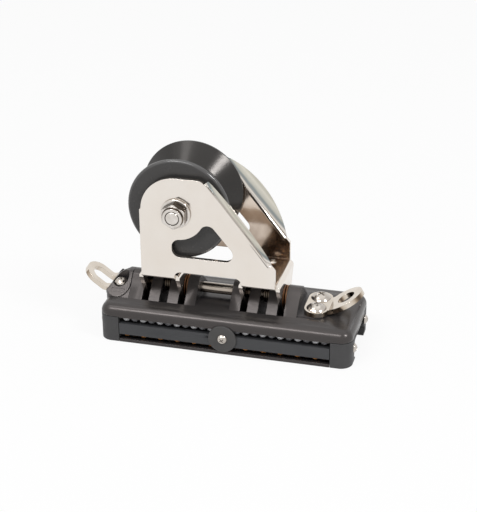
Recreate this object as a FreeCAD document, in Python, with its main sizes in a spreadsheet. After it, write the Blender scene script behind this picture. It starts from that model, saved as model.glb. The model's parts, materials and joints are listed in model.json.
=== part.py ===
# Genoa car: a recirculating-ball slider with a sheave in a hinged cage.
# Millimetres. +X runs along the track, +Z is up, Z = 0 is the slider's underside,
# X = 0 and Y = 0 are the middle of the slider.
import FreeCAD, Part
import Sketcher
import math
import os
import re

doc = FreeCAD.newDocument("genoa_car")
Vector = FreeCAD.Vector

# Driving dimensions, one word and one number each
SIZES = {
    # slider body
    "body_length": 190, "body_width": 70, "shoulder_height": 28.5,
    "edge_round": 7, "corner_round": 9,
    "hinge_centre": -12.3, "pin_height": 35, "pin_diameter": 8, "pin_fit": 0.04,
    "knuckle_radius": 9, "hump_half_width": 19.3, "left_wall": 10.45, "right_wall": 9.65,
    "hinge_margin": 40.95, "slot_width": 5.2, "rib_width": 8.1, "spring_slot": 6.3,
    "inner_knuckle": 8.15, "cutter_radius": 31,
    # track channel and ball races
    "channel_width": 34, "channel_height": 16.5, "ball_diameter": 6.35, "ball_gap": 0.15,
    "ball_fit": 0.05, "race_groove": 0.2,
    "return_inset": 5.5, "load_race": 17.6, "upper_load": 12.9, "lower_load": 4.3,
    "wall_skin": 2, "pocket_depth": 9,
    "window_low": 2.5, "window_high": 20, "bar_low": 6.4, "bar_high": 15.2, "web_thickness": 4,
    "cap_length": 15.6, "cap_height": 20.5, "seam": 0.1,
    "disc_diameter": 21, "disc_thickness": 1.5, "disc_height": 13,
    # tow loops and their cover
    "tow_thickness": 3.6, "tow_pad": 0.8, "tow_lobe": 9, "tow_bend_radius": 3,
    "right_inset": 30.95, "right_spacing": 16.6, "right_bend": 8.2, "right_angle": 32,
    "right_neck": 20.8, "ring_length": 30, "ring_width": 27, "ring_centre": 12,
    "ring_hole": 13.6, "ring_hole_centre": 13.8,
    "left_inset": 9, "left_spacing": 14, "left_bend": 11, "left_angle": 36.5,
    "left_neck": 22.4, "bail_length": 20.4, "bail_slot_start": -5, "bail_slot_end": 15,
    "bail_slot_width": 13,
    "cover_overhang": 2, "cover_round": 10, "nose_radius": 15, "nose_slope": 50,
    "cover_bore": 6.4,
    # cage
    "sheet": 3, "lug_gap": 0.3, "lug_radius": 12.8, "lug_half_width": 22.5, "lug_clearance": 0.4,
    "cage_inside": 46, "floor_height": 51, "cage_bend": 4.5,
    "notch_rise": 7.4, "notch_round": 5, "axle_inset": 27.55, "axle_height": 105.6,
    "cheek_round": 26.5, "slope_start": 18.9, "slope_drop": 64.8, "slope_round": 6,
    "lip_reach": 10.5, "lip_angle": 52, "lip_radius": 3, "lip_inset": 2.6, "lip_top": 3.3,
    "lip_foot": 5.2, "lip_end": 0.4,
    "window_left": 4, "window_low_drop": 34.9, "window_arc": 21, "window_strap": 16.4,
    "window_round": 6,
    # sheave and axle
    "sheave_radius": 38, "sheave_width": 40.6, "rim_flat": 2.5, "groove_depth": 12,
    "bearing_radius": 14, "sleeve_radius": 8, "axle_diameter": 10, "running_gap": 0.2,
    "washer_radius": 11, "washer_thickness": 2, "nut_flats": 17, "nut_height": 6,
    "nut_collar": 2, "bolt_head": 6.4, "rim_chamfer": 1.6,
    # small fasteners
    "thrust_thickness": 1.6, "thrust_gap": 0.15, "spring_wire": 1.5, "spring_turns": 2.5,
    "right_head": 13.4, "left_head": 10, "tow_screw": 6,
    "cap_head": 7.2, "cap_screw": 3, "cap_screw_height": 11.3,
    "cap_screw_shift": 0.5, "disc_head": 7.6, "disc_screw": 3, "anchor_head": 6, "anchor_screw": 3.5,
    "anchor_side": 16,
}

# Sizes that follow from the driving ones
FOLLOWING = {
    "slot_reach": "=body_length / 2 - hinge_margin",
    "hump_left": "=slot_reach + left_wall",
    "hump_right": "=slot_reach + right_wall",
    "middle_gap": "=2 * (slot_reach - 2 * slot_width - 2 * rib_width - spring_slot - inner_knuckle)",
    "return_race": "=body_width / 2 - return_inset",
    "upper_race": "=bar_high + ball_diameter / 2 + ball_fit",
    "lower_race": "=window_low + ball_diameter / 2 + ball_fit",
    "pocket_back": "=body_width / 2 - pocket_depth",
    "cap_screw_side": "=(channel_width / 2 + pocket_back) / 2 + cap_screw_shift",
    "axle_offset": "=lug_gap + sheet + axle_inset - slot_reach",
    "slope_top": "=hinge_centre + axle_offset + slope_start",
}

sheet = doc.addObject("Spreadsheet::Sheet", "sizes")
for line, (alias, value) in enumerate([*SIZES.items(), *FOLLOWING.items()], 1):
    sheet.set("A%d" % line, alias)
    sheet.set("B%d" % line, str(value))
    sheet.setAlias("B%d" % line, alias)
doc.recompute()


def size(alias):
    return float(sheet.get(alias))


def bind(item, attribute, formula):
    """Tie one attribute to a formula of the sheet's words."""
    words = re.sub(r"[a-z]+(_[a-z]+)*", lambda m: "sizes." + m.group(0)
                   if m.group(0) in SIZES or m.group(0) in FOLLOWING else m.group(0), str(formula))
    item.setExpression(attribute, words)


def place(item, x, y, z):
    for attribute, formula in zip(("x", "y", "z"), (x, y, z)):
        bind(item, "Placement.Base." + attribute, formula)


AXIS_TURN = {
    "X": FreeCAD.Rotation(Vector(0, 1, 0), 90),
    "-X": FreeCAD.Rotation(Vector(0, 1, 0), -90),
    "Y": FreeCAD.Rotation(Vector(1, 0, 0), -90),
    "-Y": FreeCAD.Rotation(Vector(1, 0, 0), 90),
    "Z": FreeCAD.Rotation(),
    "-Z": FreeCAD.Rotation(Vector(1, 0, 0), 180),
}


def box(name, x, y, z, length, width, height):
    """A box from its lowest corner."""
    item = doc.addObject("Part::Box", name)
    place(item, x, y, z)
    for attribute, formula in zip(("Length", "Width", "Height"), (length, width, height)):
        bind(item, attribute, formula)
    return item


def rod(name, axis, radius, length, x, y, z):
    """A cylinder that starts at a point and runs along an axis."""
    item = doc.addObject("Part::Cylinder", name)
    item.Placement.Rotation = AXIS_TURN[axis]
    place(item, x, y, z)
    bind(item, "Radius", radius)
    bind(item, "Height", length)
    return item


def hexagon(name, axis, flats, length, x, y, z):
    item = doc.addObject("Part::Prism", name)
    item.Polygon = 6
    item.Placement.Rotation = AXIS_TURN[axis] * FreeCAD.Rotation(Vector(0, 0, 1), 30)
    place(item, x, y, z)
    bind(item, "Circumradius", "(" + flats + ") / sqrt(3)")
    bind(item, "Height", length)
    return item


def join(name, *items):
    item = doc.addObject("Part::MultiFuse", name)
    item.Shapes = list(items)
    return item


def cut(name, base, *tools):
    item = doc.addObject("Part::Cut", name)
    item.Base = base
    item.Tool = tools[0] if len(tools) == 1 else join(name + "_tools", *tools)
    return item


def solid(name, shape):
    """A sub-part whose form neither a sketch nor a primitive gives."""
    item = doc.addObject("Part::Feature", name)
    item.Shape = shape
    return item


def rounded(name, base, radius, wanted):
    """Fillet the edges that wanted(edge) picks."""
    doc.recompute()
    item = doc.addObject("Part::Fillet", name)
    item.Base = base
    picked = [n for n, edge in enumerate(base.Shape.Edges, 1) if wanted(edge)]
    item.Edges = [(n, size(radius), size(radius)) for n in picked]
    return item


def is_line_along(edge, axis):
    if not isinstance(edge.Curve, Part.Line):
        return False
    return abs(abs(edge.tangentAt(edge.FirstParameter).dot(axis)) - 1) < 1e-6


PLANES = {
    "XY": FreeCAD.Rotation(),
    "YZ": FreeCAD.Rotation(Vector(0, 1, 0), Vector(0, 0, 1), Vector(1, 0, 0), "ZXY"),
    "XZ": FreeCAD.Rotation(Vector(1, 0, 0), Vector(0, 0, 1), Vector(0, -1, 0), "ZXY"),
}


def outline(name, plane, corners):
    """A closed sketch of straight edges with each corner tied to the sheet."""
    sketch = doc.addObject("Sketcher::SketchObject", name)
    sketch.Placement.Rotation = PLANES[plane]
    count = len(corners)
    start = [Vector(10 * math.cos(2 * math.pi * n / count), 10 * math.sin(2 * math.pi * n / count), 0)
             for n in range(count)]
    for n in range(count):
        sketch.addGeometry(Part.LineSegment(start[n], start[(n + 1) % count]), False)
    for n in range(count):
        sketch.addConstraint(Sketcher.Constraint("Coincident", n, 2, (n + 1) % count, 1))
    for n, (across, up) in enumerate(corners):
        for kind, formula, value in (("DistanceX", across, start[n].x), ("DistanceY", up, start[n].y)):
            index = sketch.addConstraint(Sketcher.Constraint(kind, -1, 1, n, 1, value))
            label = "%s%d" % (kind, n)
            sketch.renameConstraint(index, label)
            bind(sketch, "Constraints." + label, formula)
    return sketch


def extrusion(name, sketch, direction, length, back="0"):
    """A prism of a sketch, from -back to length along a direction."""
    item = doc.addObject("Part::Extrusion", name)
    item.Base = sketch
    item.DirMode = "Custom"
    item.Dir = direction
    item.Solid = True
    bind(item, "LengthFwd", length)
    bind(item, "LengthRev", back)
    return item


ALONG_X, ALONG_Y, ALONG_Z = Vector(1, 0, 0), Vector(0, 1, 0), Vector(0, 0, 1)
node_parts = {}


def sub_part(label, item):
    item.Label = label
    node_parts[label] = item
    return item


HALF_LENGTH = "body_length / 2"
HALF_WIDTH = "body_width / 2"
LEFT_END = "(0 - body_length / 2)"
SLOT_ONE = "(hinge_centre - slot_reach)"
SLOT_SIX = "(hinge_centre + slot_reach - slot_width)"
RIB_STEP = "slot_width + rib_width"
SLOT_THREE = "(" + SLOT_ONE + " + slot_width + 2 * rib_width + spring_slot)"
SLOT_FOUR = "(" + SLOT_SIX + " - 2 * rib_width - spring_slot - slot_width)"
SPRING_LEFT = "(" + SLOT_ONE + " + " + RIB_STEP + ")"
SPRING_RIGHT = "(" + SLOT_SIX + " - rib_width - spring_slot)"
HUMP_LEFT_END = "(hinge_centre - hump_left)"
HUMP_RIGHT_END = "(hinge_centre + hump_right)"
TOW_SCREW_X = {"left": LEFT_END + " + left_inset", "right": "body_length / 2 - right_inset"}


def hump_profile():
    """Half-angle and tangent point of the hump's straight flank."""
    rise = size("pin_height") - size("shoulder_height")
    foot = size("hump_half_width")
    slope = math.atan2(rise, foot) + math.asin(size("knuckle_radius") / math.hypot(rise, foot))
    across = size("knuckle_radius") * math.sin(slope)
    up = size("pin_height") + size("knuckle_radius") * math.cos(slope)
    return across, up


def hump_shape(x_low, x_high, sink):
    """The hump's section, flanks tangent to the knuckle, carried along X."""
    across, up = hump_profile()
    foot = size("hump_half_width")
    base = size("shoulder_height")
    points = [Vector(x_low, -foot, base - sink), Vector(x_low, foot, base - sink),
              Vector(x_low, foot, base), Vector(x_low, across, up)]
    top = Vector(x_low, 0, size("pin_height") + size("knuckle_radius"))
    edges = [Part.makeLine(points[n], points[n + 1]) for n in range(3)]
    other = Vector(x_low, -across, up)
    edges.append(Part.Arc(points[3], top, other).toShape())
    edges.append(Part.makeLine(other, Vector(x_low, -foot, base)))
    edges.append(Part.makeLine(Vector(x_low, -foot, base), points[0]))
    return Part.Face(Part.Wire(edges)).extrude(Vector(x_high - x_low, 0, 0))


# Slider body: a machined block with rounded shoulders and a hinge ridge
def slider_base():
    """The plain block, as a padded rectangle with its corners and top edges rounded."""
    body = doc.addObject("PartDesign::Body", "slider_block")
    sketch = body.newObject("Sketcher::SketchObject", "slider_plan")
    plane = [f for f in body.Origin.OriginFeatures if f.Role == "XY_Plane"][0]
    sketch.AttachmentSupport = (plane, "")
    sketch.MapMode = "FlatFace"
    half_length, half_width = size("body_length") / 2, size("body_width") / 2
    ring = [Vector(half_length, half_width, 0), Vector(-half_length, half_width, 0),
            Vector(-half_length, -half_width, 0), Vector(half_length, -half_width, 0)]
    for n in range(4):
        sketch.addGeometry(Part.LineSegment(ring[n], ring[(n + 1) % 4]), False)
    for n in range(4):
        sketch.addConstraint(Sketcher.Constraint("Coincident", n, 2, (n + 1) % 4, 1))
    for n, kind in enumerate(("Horizontal", "Vertical", "Horizontal", "Vertical")):
        sketch.addConstraint(Sketcher.Constraint(kind, n))
    sketch.addConstraint(Sketcher.Constraint("Symmetric", 0, 1, 1, 2, -1, 1))
    for label, edge, kind, value in (("long", 0, "Distance", 2 * half_length),
                                     ("wide", 1, "Distance", 2 * half_width)):
        index = sketch.addConstraint(Sketcher.Constraint(kind, edge, value))
        sketch.renameConstraint(index, label)
    bind(sketch, "Constraints.long", "body_length")
    bind(sketch, "Constraints.wide", "body_width")
    pad = body.newObject("PartDesign::Pad", "slider_pad")
    pad.Profile = sketch
    bind(pad, "Length", "shoulder_height")
    doc.recompute()
    corners = [n for n, edge in enumerate(pad.Shape.Edges, 1) if is_line_along(edge, ALONG_Z)]
    upright = body.newObject("PartDesign::Fillet", "slider_corners")
    upright.Base = (pad, ["Edge%d" % n for n in corners])
    bind(upright, "Radius", "corner_round")
    doc.recompute()
    top = [n for n, edge in enumerate(upright.Shape.Edges, 1)
           if min(v.Z for v in edge.Vertexes) > size("shoulder_height") - 0.01]
    crown = body.newObject("PartDesign::Fillet", "slider_crown")
    crown.Base = (upright, ["Edge%d" % n for n in top])
    bind(crown, "Radius", "edge_round")
    doc.recompute()
    return body


def race_pocket(side):
    """Section of the return race milled into one flank, open between the caps."""
    s = "" if side > 0 else "0 - "

    def at(formula):
        return "%s(%s)" % (s, formula)
    out = HALF_WIDTH + " + 1"
    skin = HALF_WIDTH + " - wall_skin"
    back = "pocket_back"
    roof = "upper_race + ball_diameter / 2 + race_groove"
    corners = [(at(out), "window_low"), (at(back), "window_low"), (at(back), roof), (at(skin), roof),
               (at(skin), "window_high"), (at(out), "window_high")]
    name = "pocket_near" if side < 0 else "pocket_far"
    length = "body_length / 2 - cap_length"
    return extrusion(name, outline(name + "_section", "YZ", corners), ALONG_X, length, length)


def slider_body():
    block = slider_base()
    left, right = -size("hump_left"), size("hump_right")
    centre = size("hinge_centre")
    ridge = solid("hinge_ridge", hump_shape(centre + left, centre + right, 2))
    pad = box("tow_seat", HUMP_RIGHT_END + " - 1", "0 - right_spacing / 2 - tow_lobe", "shoulder_height - 2",
              "body_length / 2 - right_inset + right_bend - hinge_centre - hump_right + 1",
              "right_spacing + 2 * tow_lobe", "tow_pad + 2")
    pad = rounded("tow_seat_round", pad, "tow_lobe", lambda e: is_line_along(e, ALONG_Z)
                  and e.CenterOfMass.x > centre + right + 5)
    whole = join("slider_whole", block, ridge, pad)
    tools = [race_pocket(1), race_pocket(-1)]
    # slots for the cage's lugs and springs, cut by a disc cutter that clears the lugs
    cutter_height = "pin_height - lug_radius - lug_clearance + cutter_radius"
    for name, x, width in (("slot_one", SLOT_ONE, "slot_width"), ("slot_two", SPRING_LEFT, "spring_slot"),
                           ("slot_three", SLOT_THREE, "slot_width"), ("slot_four", SLOT_FOUR, "slot_width"),
                           ("slot_five", SPRING_RIGHT, "spring_slot"), ("slot_six", SLOT_SIX, "slot_width")):
        tools.append(rod(name, "X", "cutter_radius", width, x, "0", cutter_height))
    tools.append(box("ridge_gap", "hinge_centre - middle_gap / 2", "0 - hump_half_width - 1",
                     "shoulder_height", "middle_gap", "2 * hump_half_width + 2", "pin_height"))
    # pin bore, blind at the right and closed at the left by the end cover
    tools.append(rod("pin_bore", "X", "pin_diameter / 2 + pin_fit", "hump_left + hump_right - 3",
                     HUMP_LEFT_END + " - 1", "0", "pin_height"))
    # track channel with the grooves of the loaded ball rows
    tools.append(box("track_channel", LEFT_END + " - 1", "0 - channel_width / 2", "0 - 1",
                     "body_length + 2", "channel_width", "channel_height + 1"))
    for side, s in (("near", "0 - "), ("far", "")):
        for level in ("upper", "lower"):
            tools.append(rod("%s_%s_groove" % (side, level), "X", "ball_diameter / 2 + race_groove",
                             "body_length + 2", LEFT_END + " - 1", s + "load_race", level + "_load"))
        # room for the return caps at the four corners
        low = "0 - body_width / 2 - 1" if side == "near" else "channel_width / 2"
        for end, x in (("left", LEFT_END + " - 1"), ("right", "body_length / 2 - cap_length")):
            tools.append(box("%s_%s_cap_room" % (side, end), x, low, "0 - 1", "cap_length + 1",
                             "body_width / 2 - channel_width / 2 + 1", "cap_height + 1"))
            axis, start = ("X", LEFT_END) if end == "left" else ("-X", HALF_LENGTH)
            tools.append(rod("%s_%s_cap_tap" % (side, end), axis, "cap_screw / 2 + seam",
                             "cap_length + 9", start, s + "cap_screw_side", "cap_screw_height"))
    # tapped holes for the tow loops
    for end, x in TOW_SCREW_X.items():
        for side, s in (("near", "0 - "), ("far", "")):
            tools.append(rod("tow_tap_%s_%s" % (end, side), "Z", "tow_screw / 2 + seam", "20", x,
                             "%s%s_spacing / 2" % (s, end), "shoulder_height - 9"))
    # shallow step at the bare end
    tools.append(box("end_step", "body_length / 2 - 3", "0 - 12.8", "shoulder_height - 2", "4", "25.6", "4"))
    return sub_part("slider_body", cut("slider_cut", whole, *tools))


# Return caps close the ball loops at the four corners
def return_cap(side, end):
    label = "%s_%s_return_cap" % (side, end)
    s = "0 - " if side == "near" else ""
    x = LEFT_END if end == "left" else "body_length / 2 - cap_length + seam"
    y = "0 - body_width / 2" if side == "near" else "channel_width / 2"
    block = box(label + "_block", x, y, "0", "cap_length - seam",
                "body_width / 2 - channel_width / 2", "cap_height - seam")
    sign = -1 if end == "left" else 1
    turn = -1 if side == "near" else 1
    block = rounded(label + "_round", block, "corner_round", lambda e: is_line_along(e, ALONG_Z)
                    and e.CenterOfMass.x * sign > size("body_length") / 2 - 0.1
                    and e.CenterOfMass.y * turn > size("body_width") / 2 - 0.1)
    axis, start = ("X", LEFT_END) if end == "left" else ("-X", HALF_LENGTH)
    hole = rod(label + "_hole", axis, "cap_screw / 2 + seam", "cap_length", start, s + "cap_screw_side",
               "cap_screw_height")
    grooves = [rod("%s_%s_turn" % (label, level), "X", "ball_diameter / 2 + race_groove", "body_length + 2",
                   LEFT_END + " - 1", s + "load_race", level + "_load") for level in ("upper", "lower")]
    sub_part(label, cut(label + "_cut", block, hole, *grooves))


def pan_screw(label, axis, head, shank, length, x, y, z):
    """A domed screw with a cross recess; x, y, z is the middle of the head's seat."""
    radius, depth = size(head) / 2, size(head) * 0.33
    # section of half the screw: tip, shank, flat seat, low wall, sloping shoulder
    section = [(0, -length), (size(shank) / 2, -length), (size(shank) / 2, 0), (radius, 0),
               (radius, depth * 0.35), (radius * 0.66, depth), (0, depth)]
    ring = [Vector(across, 0, up) for across, up in section]
    screw = Part.Face(Part.makePolygon(ring + ring[:1])).revolve(Vector(0, 0, 0), ALONG_Z, 360)
    arm, blade = radius * 0.55, radius * 0.17
    for across, along in ((arm, blade), (blade, arm)):
        screw = screw.cut(Part.makeBox(2 * across, 2 * along, depth,
                                       Vector(-across, -along, depth * 0.5)))
    screw = screw.removeSplitter()
    item = solid(label + "_form", screw)
    item.Placement.Rotation = AXIS_TURN[axis]
    place(item, x, y, z)
    return sub_part(label, item)


# Race bars part the upper and lower ball rows; each is an angle section
def race_bar(side):
    label = "%s_race_bar" % side
    s = "0 - " if side == "near" else ""

    def at(formula):
        return s + "(" + formula + ")"
    inner = HALF_WIDTH + " - wall_skin"
    web = "bar_high - web_thickness"
    corners = [(at(HALF_WIDTH), "bar_low"), (at(HALF_WIDTH), "bar_high"),
               (at("pocket_back + seam"), "bar_high"), (at("pocket_back + seam"), web), (at(inner), web),
               (at(inner), "bar_low")]
    length = "body_length / 2 - cap_length - seam"
    bar = extrusion(label + "_run", outline(label + "_section", "YZ", corners), ALONG_X, length, length)
    axis = "Y" if side == "near" else "-Y"
    hole = rod(label + "_hole", axis, "disc_screw / 2 + seam", "7", "0", s + "body_width / 2", "disc_height")
    sub_part(label, cut(label + "_cut", bar, hole))


# Clamp discs hold the race bars at mid-length
def clamp_disc(side):
    label = "%s_clamp_disc" % side
    axis = "-Y" if side == "near" else "Y"
    s = "0 - " if side == "near" else ""
    disc = rod(label + "_plate", axis, "disc_diameter / 2", "disc_thickness", "0", s + "body_width / 2",
               "disc_height")
    hole = rod(label + "_hole", axis, "disc_screw / 2 + seam", "disc_thickness", "0", s + "body_width / 2",
               "disc_height")
    sub_part(label, cut(label + "_cut", disc, hole))
    pan_screw("%s_disc_screw" % side, axis, "disc_head", "disc_screw", 6, "0",
              s + "(body_width / 2 + disc_thickness)", "disc_height")


BALL_RINGS = ((-0.82, 0.57), (0, 1), (0.82, 0.57))
BALL_SIDES = 8


def ball(centre):
    """One race ball, kept to few faces because there are so many."""
    radius = size("ball_diameter") / 2
    rings = []
    for height, reach in BALL_RINGS:
        points = []
        for n in range(BALL_SIDES + 1):
            angle = 2 * math.pi * (n % BALL_SIDES) / BALL_SIDES
            points.append(centre + Vector(radius * reach * math.cos(angle), radius * height,
                                          radius * reach * math.sin(angle)))
        rings.append(points)
    outlines = [rings[0], rings[-1]]
    for low, high in zip(rings, rings[1:]):
        outlines += [[low[n], low[n + 1], high[n + 1], high[n], low[n]] for n in range(BALL_SIDES)]
    return Part.Solid(Part.Shell([Part.Face(Part.makePolygon(points)) for points in outlines]))


def ball_row(side, level):
    """The return row of one loop, from cap to cap, parted around the disc's screw."""
    pitch = size("ball_diameter") + size("ball_gap")
    run = size("body_length") / 2 - size("cap_length")
    count = int((run - size("ball_diameter") / 2) / pitch + 0.5)
    y = size("return_race") * (-1 if side == "near" else 1)
    balls = []
    for n in range(count):
        for sign in (-1, 1):
            balls.append(ball(Vector(sign * pitch * (n + 0.5), y, size(level + "_race"))))
    sub_part("%s_%s_balls" % (side, level), solid("%s_%s_row" % (side, level), Part.makeCompound(balls)))


# Tow loops: a bent plate at each end, held by two screws
def flange_plan(screw_x, way, lobe, spread, bend, half_neck, low, tall):
    """Plan of a flange: two round lobes that neck down to the tab, which leaves in the given way."""
    neck = [(-lobe, spread), (lobe * 0.7, spread + lobe * 0.7), (bend, half_neck),
            (bend + size("tow_bend_radius") * 1.2, half_neck)]
    neck += [(across, -side) for across, side in reversed(neck)]
    ring = [Vector(screw_x + way * across, side, low) for across, side in neck + neck[:1]]
    plan = Part.Face(Part.makePolygon(ring)).extrude(Vector(0, 0, tall))
    for side in (-spread, spread):
        plan = plan.fuse(Part.makeCylinder(lobe, tall, Vector(screw_x, side, low)))
    return plan


def tow_loop(end):
    """The right plate ends in a ring, the left one in a long slotted bail."""
    screw_x = size("body_length") / 2 - size(end + "_inset")
    thick, angle = size("tow_thickness"), math.radians(size(end + "_angle"))
    low = size("shoulder_height") + (size("tow_pad") if end == "right" else 0)
    top = low + thick
    bend_x = screw_x + size(end + "_bend")
    inner, lobe = size("tow_bend_radius"), size("tow_lobe")
    centre = Vector(bend_x, 0, top + inner)
    spread, half_neck = size(end + "_spacing") / 2, size(end + "_neck") / 2
    deep = size("ring_length")
    wide = size("body_length")
    taken = inner * angle

    def turned(radius, by):
        return centre + Vector(radius * math.sin(by), 0, -radius * math.cos(by))
    reach = Vector(math.cos(angle), 0, math.sin(angle)) * deep
    start = Vector(screw_x - lobe - 1, 0, low)
    start_top = Vector(start.x, 0, top)
    # side view of the bent strip
    edges = [Part.makeLine(start, Vector(bend_x, 0, low)),
             Part.Arc(Vector(bend_x, 0, low), turned(inner + thick, angle / 2),
                      turned(inner + thick, angle)).toShape(),
             Part.makeLine(turned(inner + thick, angle), turned(inner + thick, angle) + reach),
             Part.makeLine(turned(inner + thick, angle) + reach, turned(inner, angle) + reach),
             Part.makeLine(turned(inner, angle) + reach, turned(inner, angle)),
             Part.Arc(turned(inner, angle), turned(inner, angle / 2), Vector(bend_x, 0, top)).toShape(),
             Part.makeLine(Vector(bend_x, 0, top), start_top), Part.makeLine(start_top, start)]
    strip = Part.Face(Part.Wire(edges)).extrude(Vector(0, 4 * lobe, 0))
    strip.translate(Vector(0, -2 * lobe, 0))
    plan = flange_plan(screw_x, 1, lobe, spread, bend_x - screw_x, half_neck, low - 1, deep)
    flange_side = Part.makeBox(wide, wide, wide, Vector(bend_x - wide, -wide / 2, low - wide / 2))
    flange = strip.common(plan).common(flange_side)
    # outline of the tab and its opening, square to the tab's own plane
    if end == "right":
        along, across = size("ring_length") / 2, size("ring_width") / 2
        middle = size("ring_centre") - taken
        oval = Part.Ellipse(Vector(middle, 0, -deep / 2), along, across).toShape()
        tab = Part.Face(Part.Wire(oval)).extrude(Vector(0, 0, deep))
        tab = tab.fuse(Part.makeBox(deep + middle, 2 * half_neck, deep, Vector(-deep, -half_neck, -deep / 2)))
        opening = Part.makeCylinder(size("ring_hole") / 2, deep,
                                    Vector(size("ring_hole_centre") - taken, 0, -deep / 2))
    else:
        length = size("bail_length") - taken
        tab = Part.makeBox(length - half_neck + deep, 2 * half_neck, deep, Vector(-deep, -half_neck, -deep / 2))
        tab = tab.fuse(Part.makeCylinder(half_neck, deep, Vector(length - half_neck, 0, -deep / 2)))
        half_slot = size("bail_slot_width") / 2
        first = size("bail_slot_start") - taken + half_slot
        last = size("bail_slot_end") - taken - half_slot
        opening = Part.makeBox(last - first, 2 * half_slot, deep, Vector(first, -half_slot, -deep / 2))
        for x in (first, last):
            opening = opening.fuse(Part.makeCylinder(half_slot, deep, Vector(x, 0, -deep / 2)))
    tab_turn = FreeCAD.Rotation(Vector(0, 1, 0), -math.degrees(angle))
    for shape in (tab, opening):
        shape.Placement = FreeCAD.Placement(turned(inner, angle), tab_turn)
    loop = flange.fuse(strip.common(tab).cut(flange_side)).cut(opening)
    for side in (-1, 1):
        loop = loop.cut(Part.makeCylinder(size("tow_screw") / 2 + size("seam"), deep,
                                          Vector(screw_x, side * spread, low - 1)))
    loop = loop.removeSplitter()
    if end == "left":
        loop = loop.mirror(Vector(0, 0, 0), ALONG_X)
    sub_part(end + "_tow_loop", solid(end + "_tow_plate", loop))
    height = "shoulder_height + tow_thickness" + (" + tow_pad" if end == "right" else "")
    for side, s in (("near", "0 - "), ("far", "")):
        pan_screw("%s_%s_tow_screw" % (end, side), "Z", end + "_head", "tow_screw", 11, TOW_SCREW_X[end],
                  "%s%s_spacing / 2" % (s, end), height)


# Left end cover: the hump's nose, counterbored over the tow loop's screws
def left_end_cover():
    seam = size("seam")
    right = size("hinge_centre") - size("hump_left") - seam
    left = -size("body_length") / 2 - size("cover_overhang")
    base = size("shoulder_height")
    ridge = size("pin_height") + size("knuckle_radius")
    radius, slope = size("nose_radius"), math.radians(size("nose_slope"))
    # side view: flat top, round shoulder, sloping nose
    start = Vector(right, 0, ridge + 1)
    turn_top = Vector(right - 1.2, 0, ridge - 0.5)
    centre = turn_top - Vector(0, 0, radius)

    def on_nose(by):
        return centre + Vector(-radius * math.sin(by), 0, radius * math.cos(by))
    tip = on_nose(slope)
    drop = (tip.z - base - 1) / math.tan(slope)
    low_tip = Vector(max(left, tip.x - drop), 0, base + 1)
    edges = [Part.makeLine(Vector(right, 0, base), Vector(right, 0, turn_top.z)),
             Part.makeLine(Vector(right, 0, turn_top.z), turn_top),
             Part.Arc(turn_top, on_nose(slope / 2), tip).toShape(), Part.makeLine(tip, low_tip),
             Part.makeLine(low_tip, Vector(low_tip.x, 0, base)),
             Part.makeLine(Vector(low_tip.x, 0, base), Vector(right, 0, base))]
    half = size("hump_half_width")
    side = Part.Face(Part.Wire(edges)).extrude(Vector(0, 3 * half, 0))
    side.translate(Vector(0, -1.5 * half, 0))
    plan = Part.makeBox(right - left, 2 * half, 2 * (ridge - base), Vector(left, -half, base))
    uprights = [edge for edge in plan.Edges if is_line_along(edge, ALONG_Z)]
    plan = plan.makeFillet(size("cover_round"), uprights)
    nose = plan.common(side).common(hump_shape(left - 1, right + 1, 3))
    # pocket underneath for the tow loop, with clearance all round
    gap = 0.15
    screw_x = -size("body_length") / 2 + size("left_inset")
    lobe, spread, neck = size("tow_lobe") + gap, size("left_spacing") / 2, size("left_neck") / 2 + gap
    top = base + size("tow_thickness") + gap
    deep = 2 * (right - left)
    pocket = Part.makeBox(deep, 2 * neck, top - base, Vector(screw_x - deep, -neck, base))
    pocket = pocket.fuse(flange_plan(screw_x, -1, lobe, spread, size("left_bend"), neck, base, top - base))
    # the bent bail leaves through a slanted mouth
    mouth = Part.makeBox(deep, 2 * neck, deep, Vector(-deep, -neck, -deep))
    mouth.Placement = FreeCAD.Placement(Vector(screw_x - size("left_bend") + 2.2, 0, top),
                                        FreeCAD.Rotation(ALONG_Y, size("left_angle")))
    nose = nose.cut(pocket).cut(mouth)
    for s in (-1, 1):
        seat = Vector(screw_x, s * spread, top - 1)
        nose = nose.cut(Part.makeCylinder(size("cover_bore"), 2 * (ridge - base), seat))
    solids = sorted(nose.removeSplitter().Solids, key=lambda piece: piece.Volume)
    sub_part("left_end_cover", solid("nose_cover", solids[-1]))


# Hinge pin, thrust washers and the springs that stand the cage upright
def hinge_parts():
    pin = rod("hinge_rod", "X", "pin_diameter / 2", "hump_left + hump_right - 5",
              HUMP_LEFT_END + " + 0.5", "0", "pin_height")
    sub_part("hinge_pin", pin)
    for name, x in (("inner_thrust_washer", SLOT_THREE), ("outer_thrust_washer", SLOT_SIX)):
        low = x + " + slot_width - thrust_gap - thrust_thickness"
        ring = rod(name + "_disc", "X", "knuckle_radius - 0.4", "thrust_thickness", low, "0", "pin_height")
        hole = rod(name + "_hole", "X", "pin_diameter / 2 + seam", "thrust_thickness", low, "0", "pin_height")
        sub_part(name, cut(name + "_ring", ring, hole))
    for name, x, hand in (("left_spring", SPRING_LEFT, 1), ("right_spring", SPRING_RIGHT, -1)):
        wire, turns = size("spring_wire"), size("spring_turns")
        radius = size("pin_diameter") / 2 + wire / 2 + 0.35
        pitch = (size("spring_slot") - 2 * wire) / turns
        helix = Part.makeHelix(pitch, pitch * turns, radius)
        rim = [(math.cos(math.radians(72 * n)), math.sin(math.radians(72 * n))) for n in range(6)]
        section = Part.makePolygon([Vector(radius + wire / 2 * x, 0, wire / 2 * z) for x, z in rim])
        coil = Part.Wire(helix).makePipeShell([section], True, True)
        if hand < 0:
            coil = coil.mirror(Vector(0, 0, 0), ALONG_Y)
        item = solid(name + "_coil", coil)
        item.Placement.Rotation = AXIS_TURN["X"]
        place(item, x + " + spring_wire", "0", "pin_height")
        sub_part(name, item)


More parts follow.
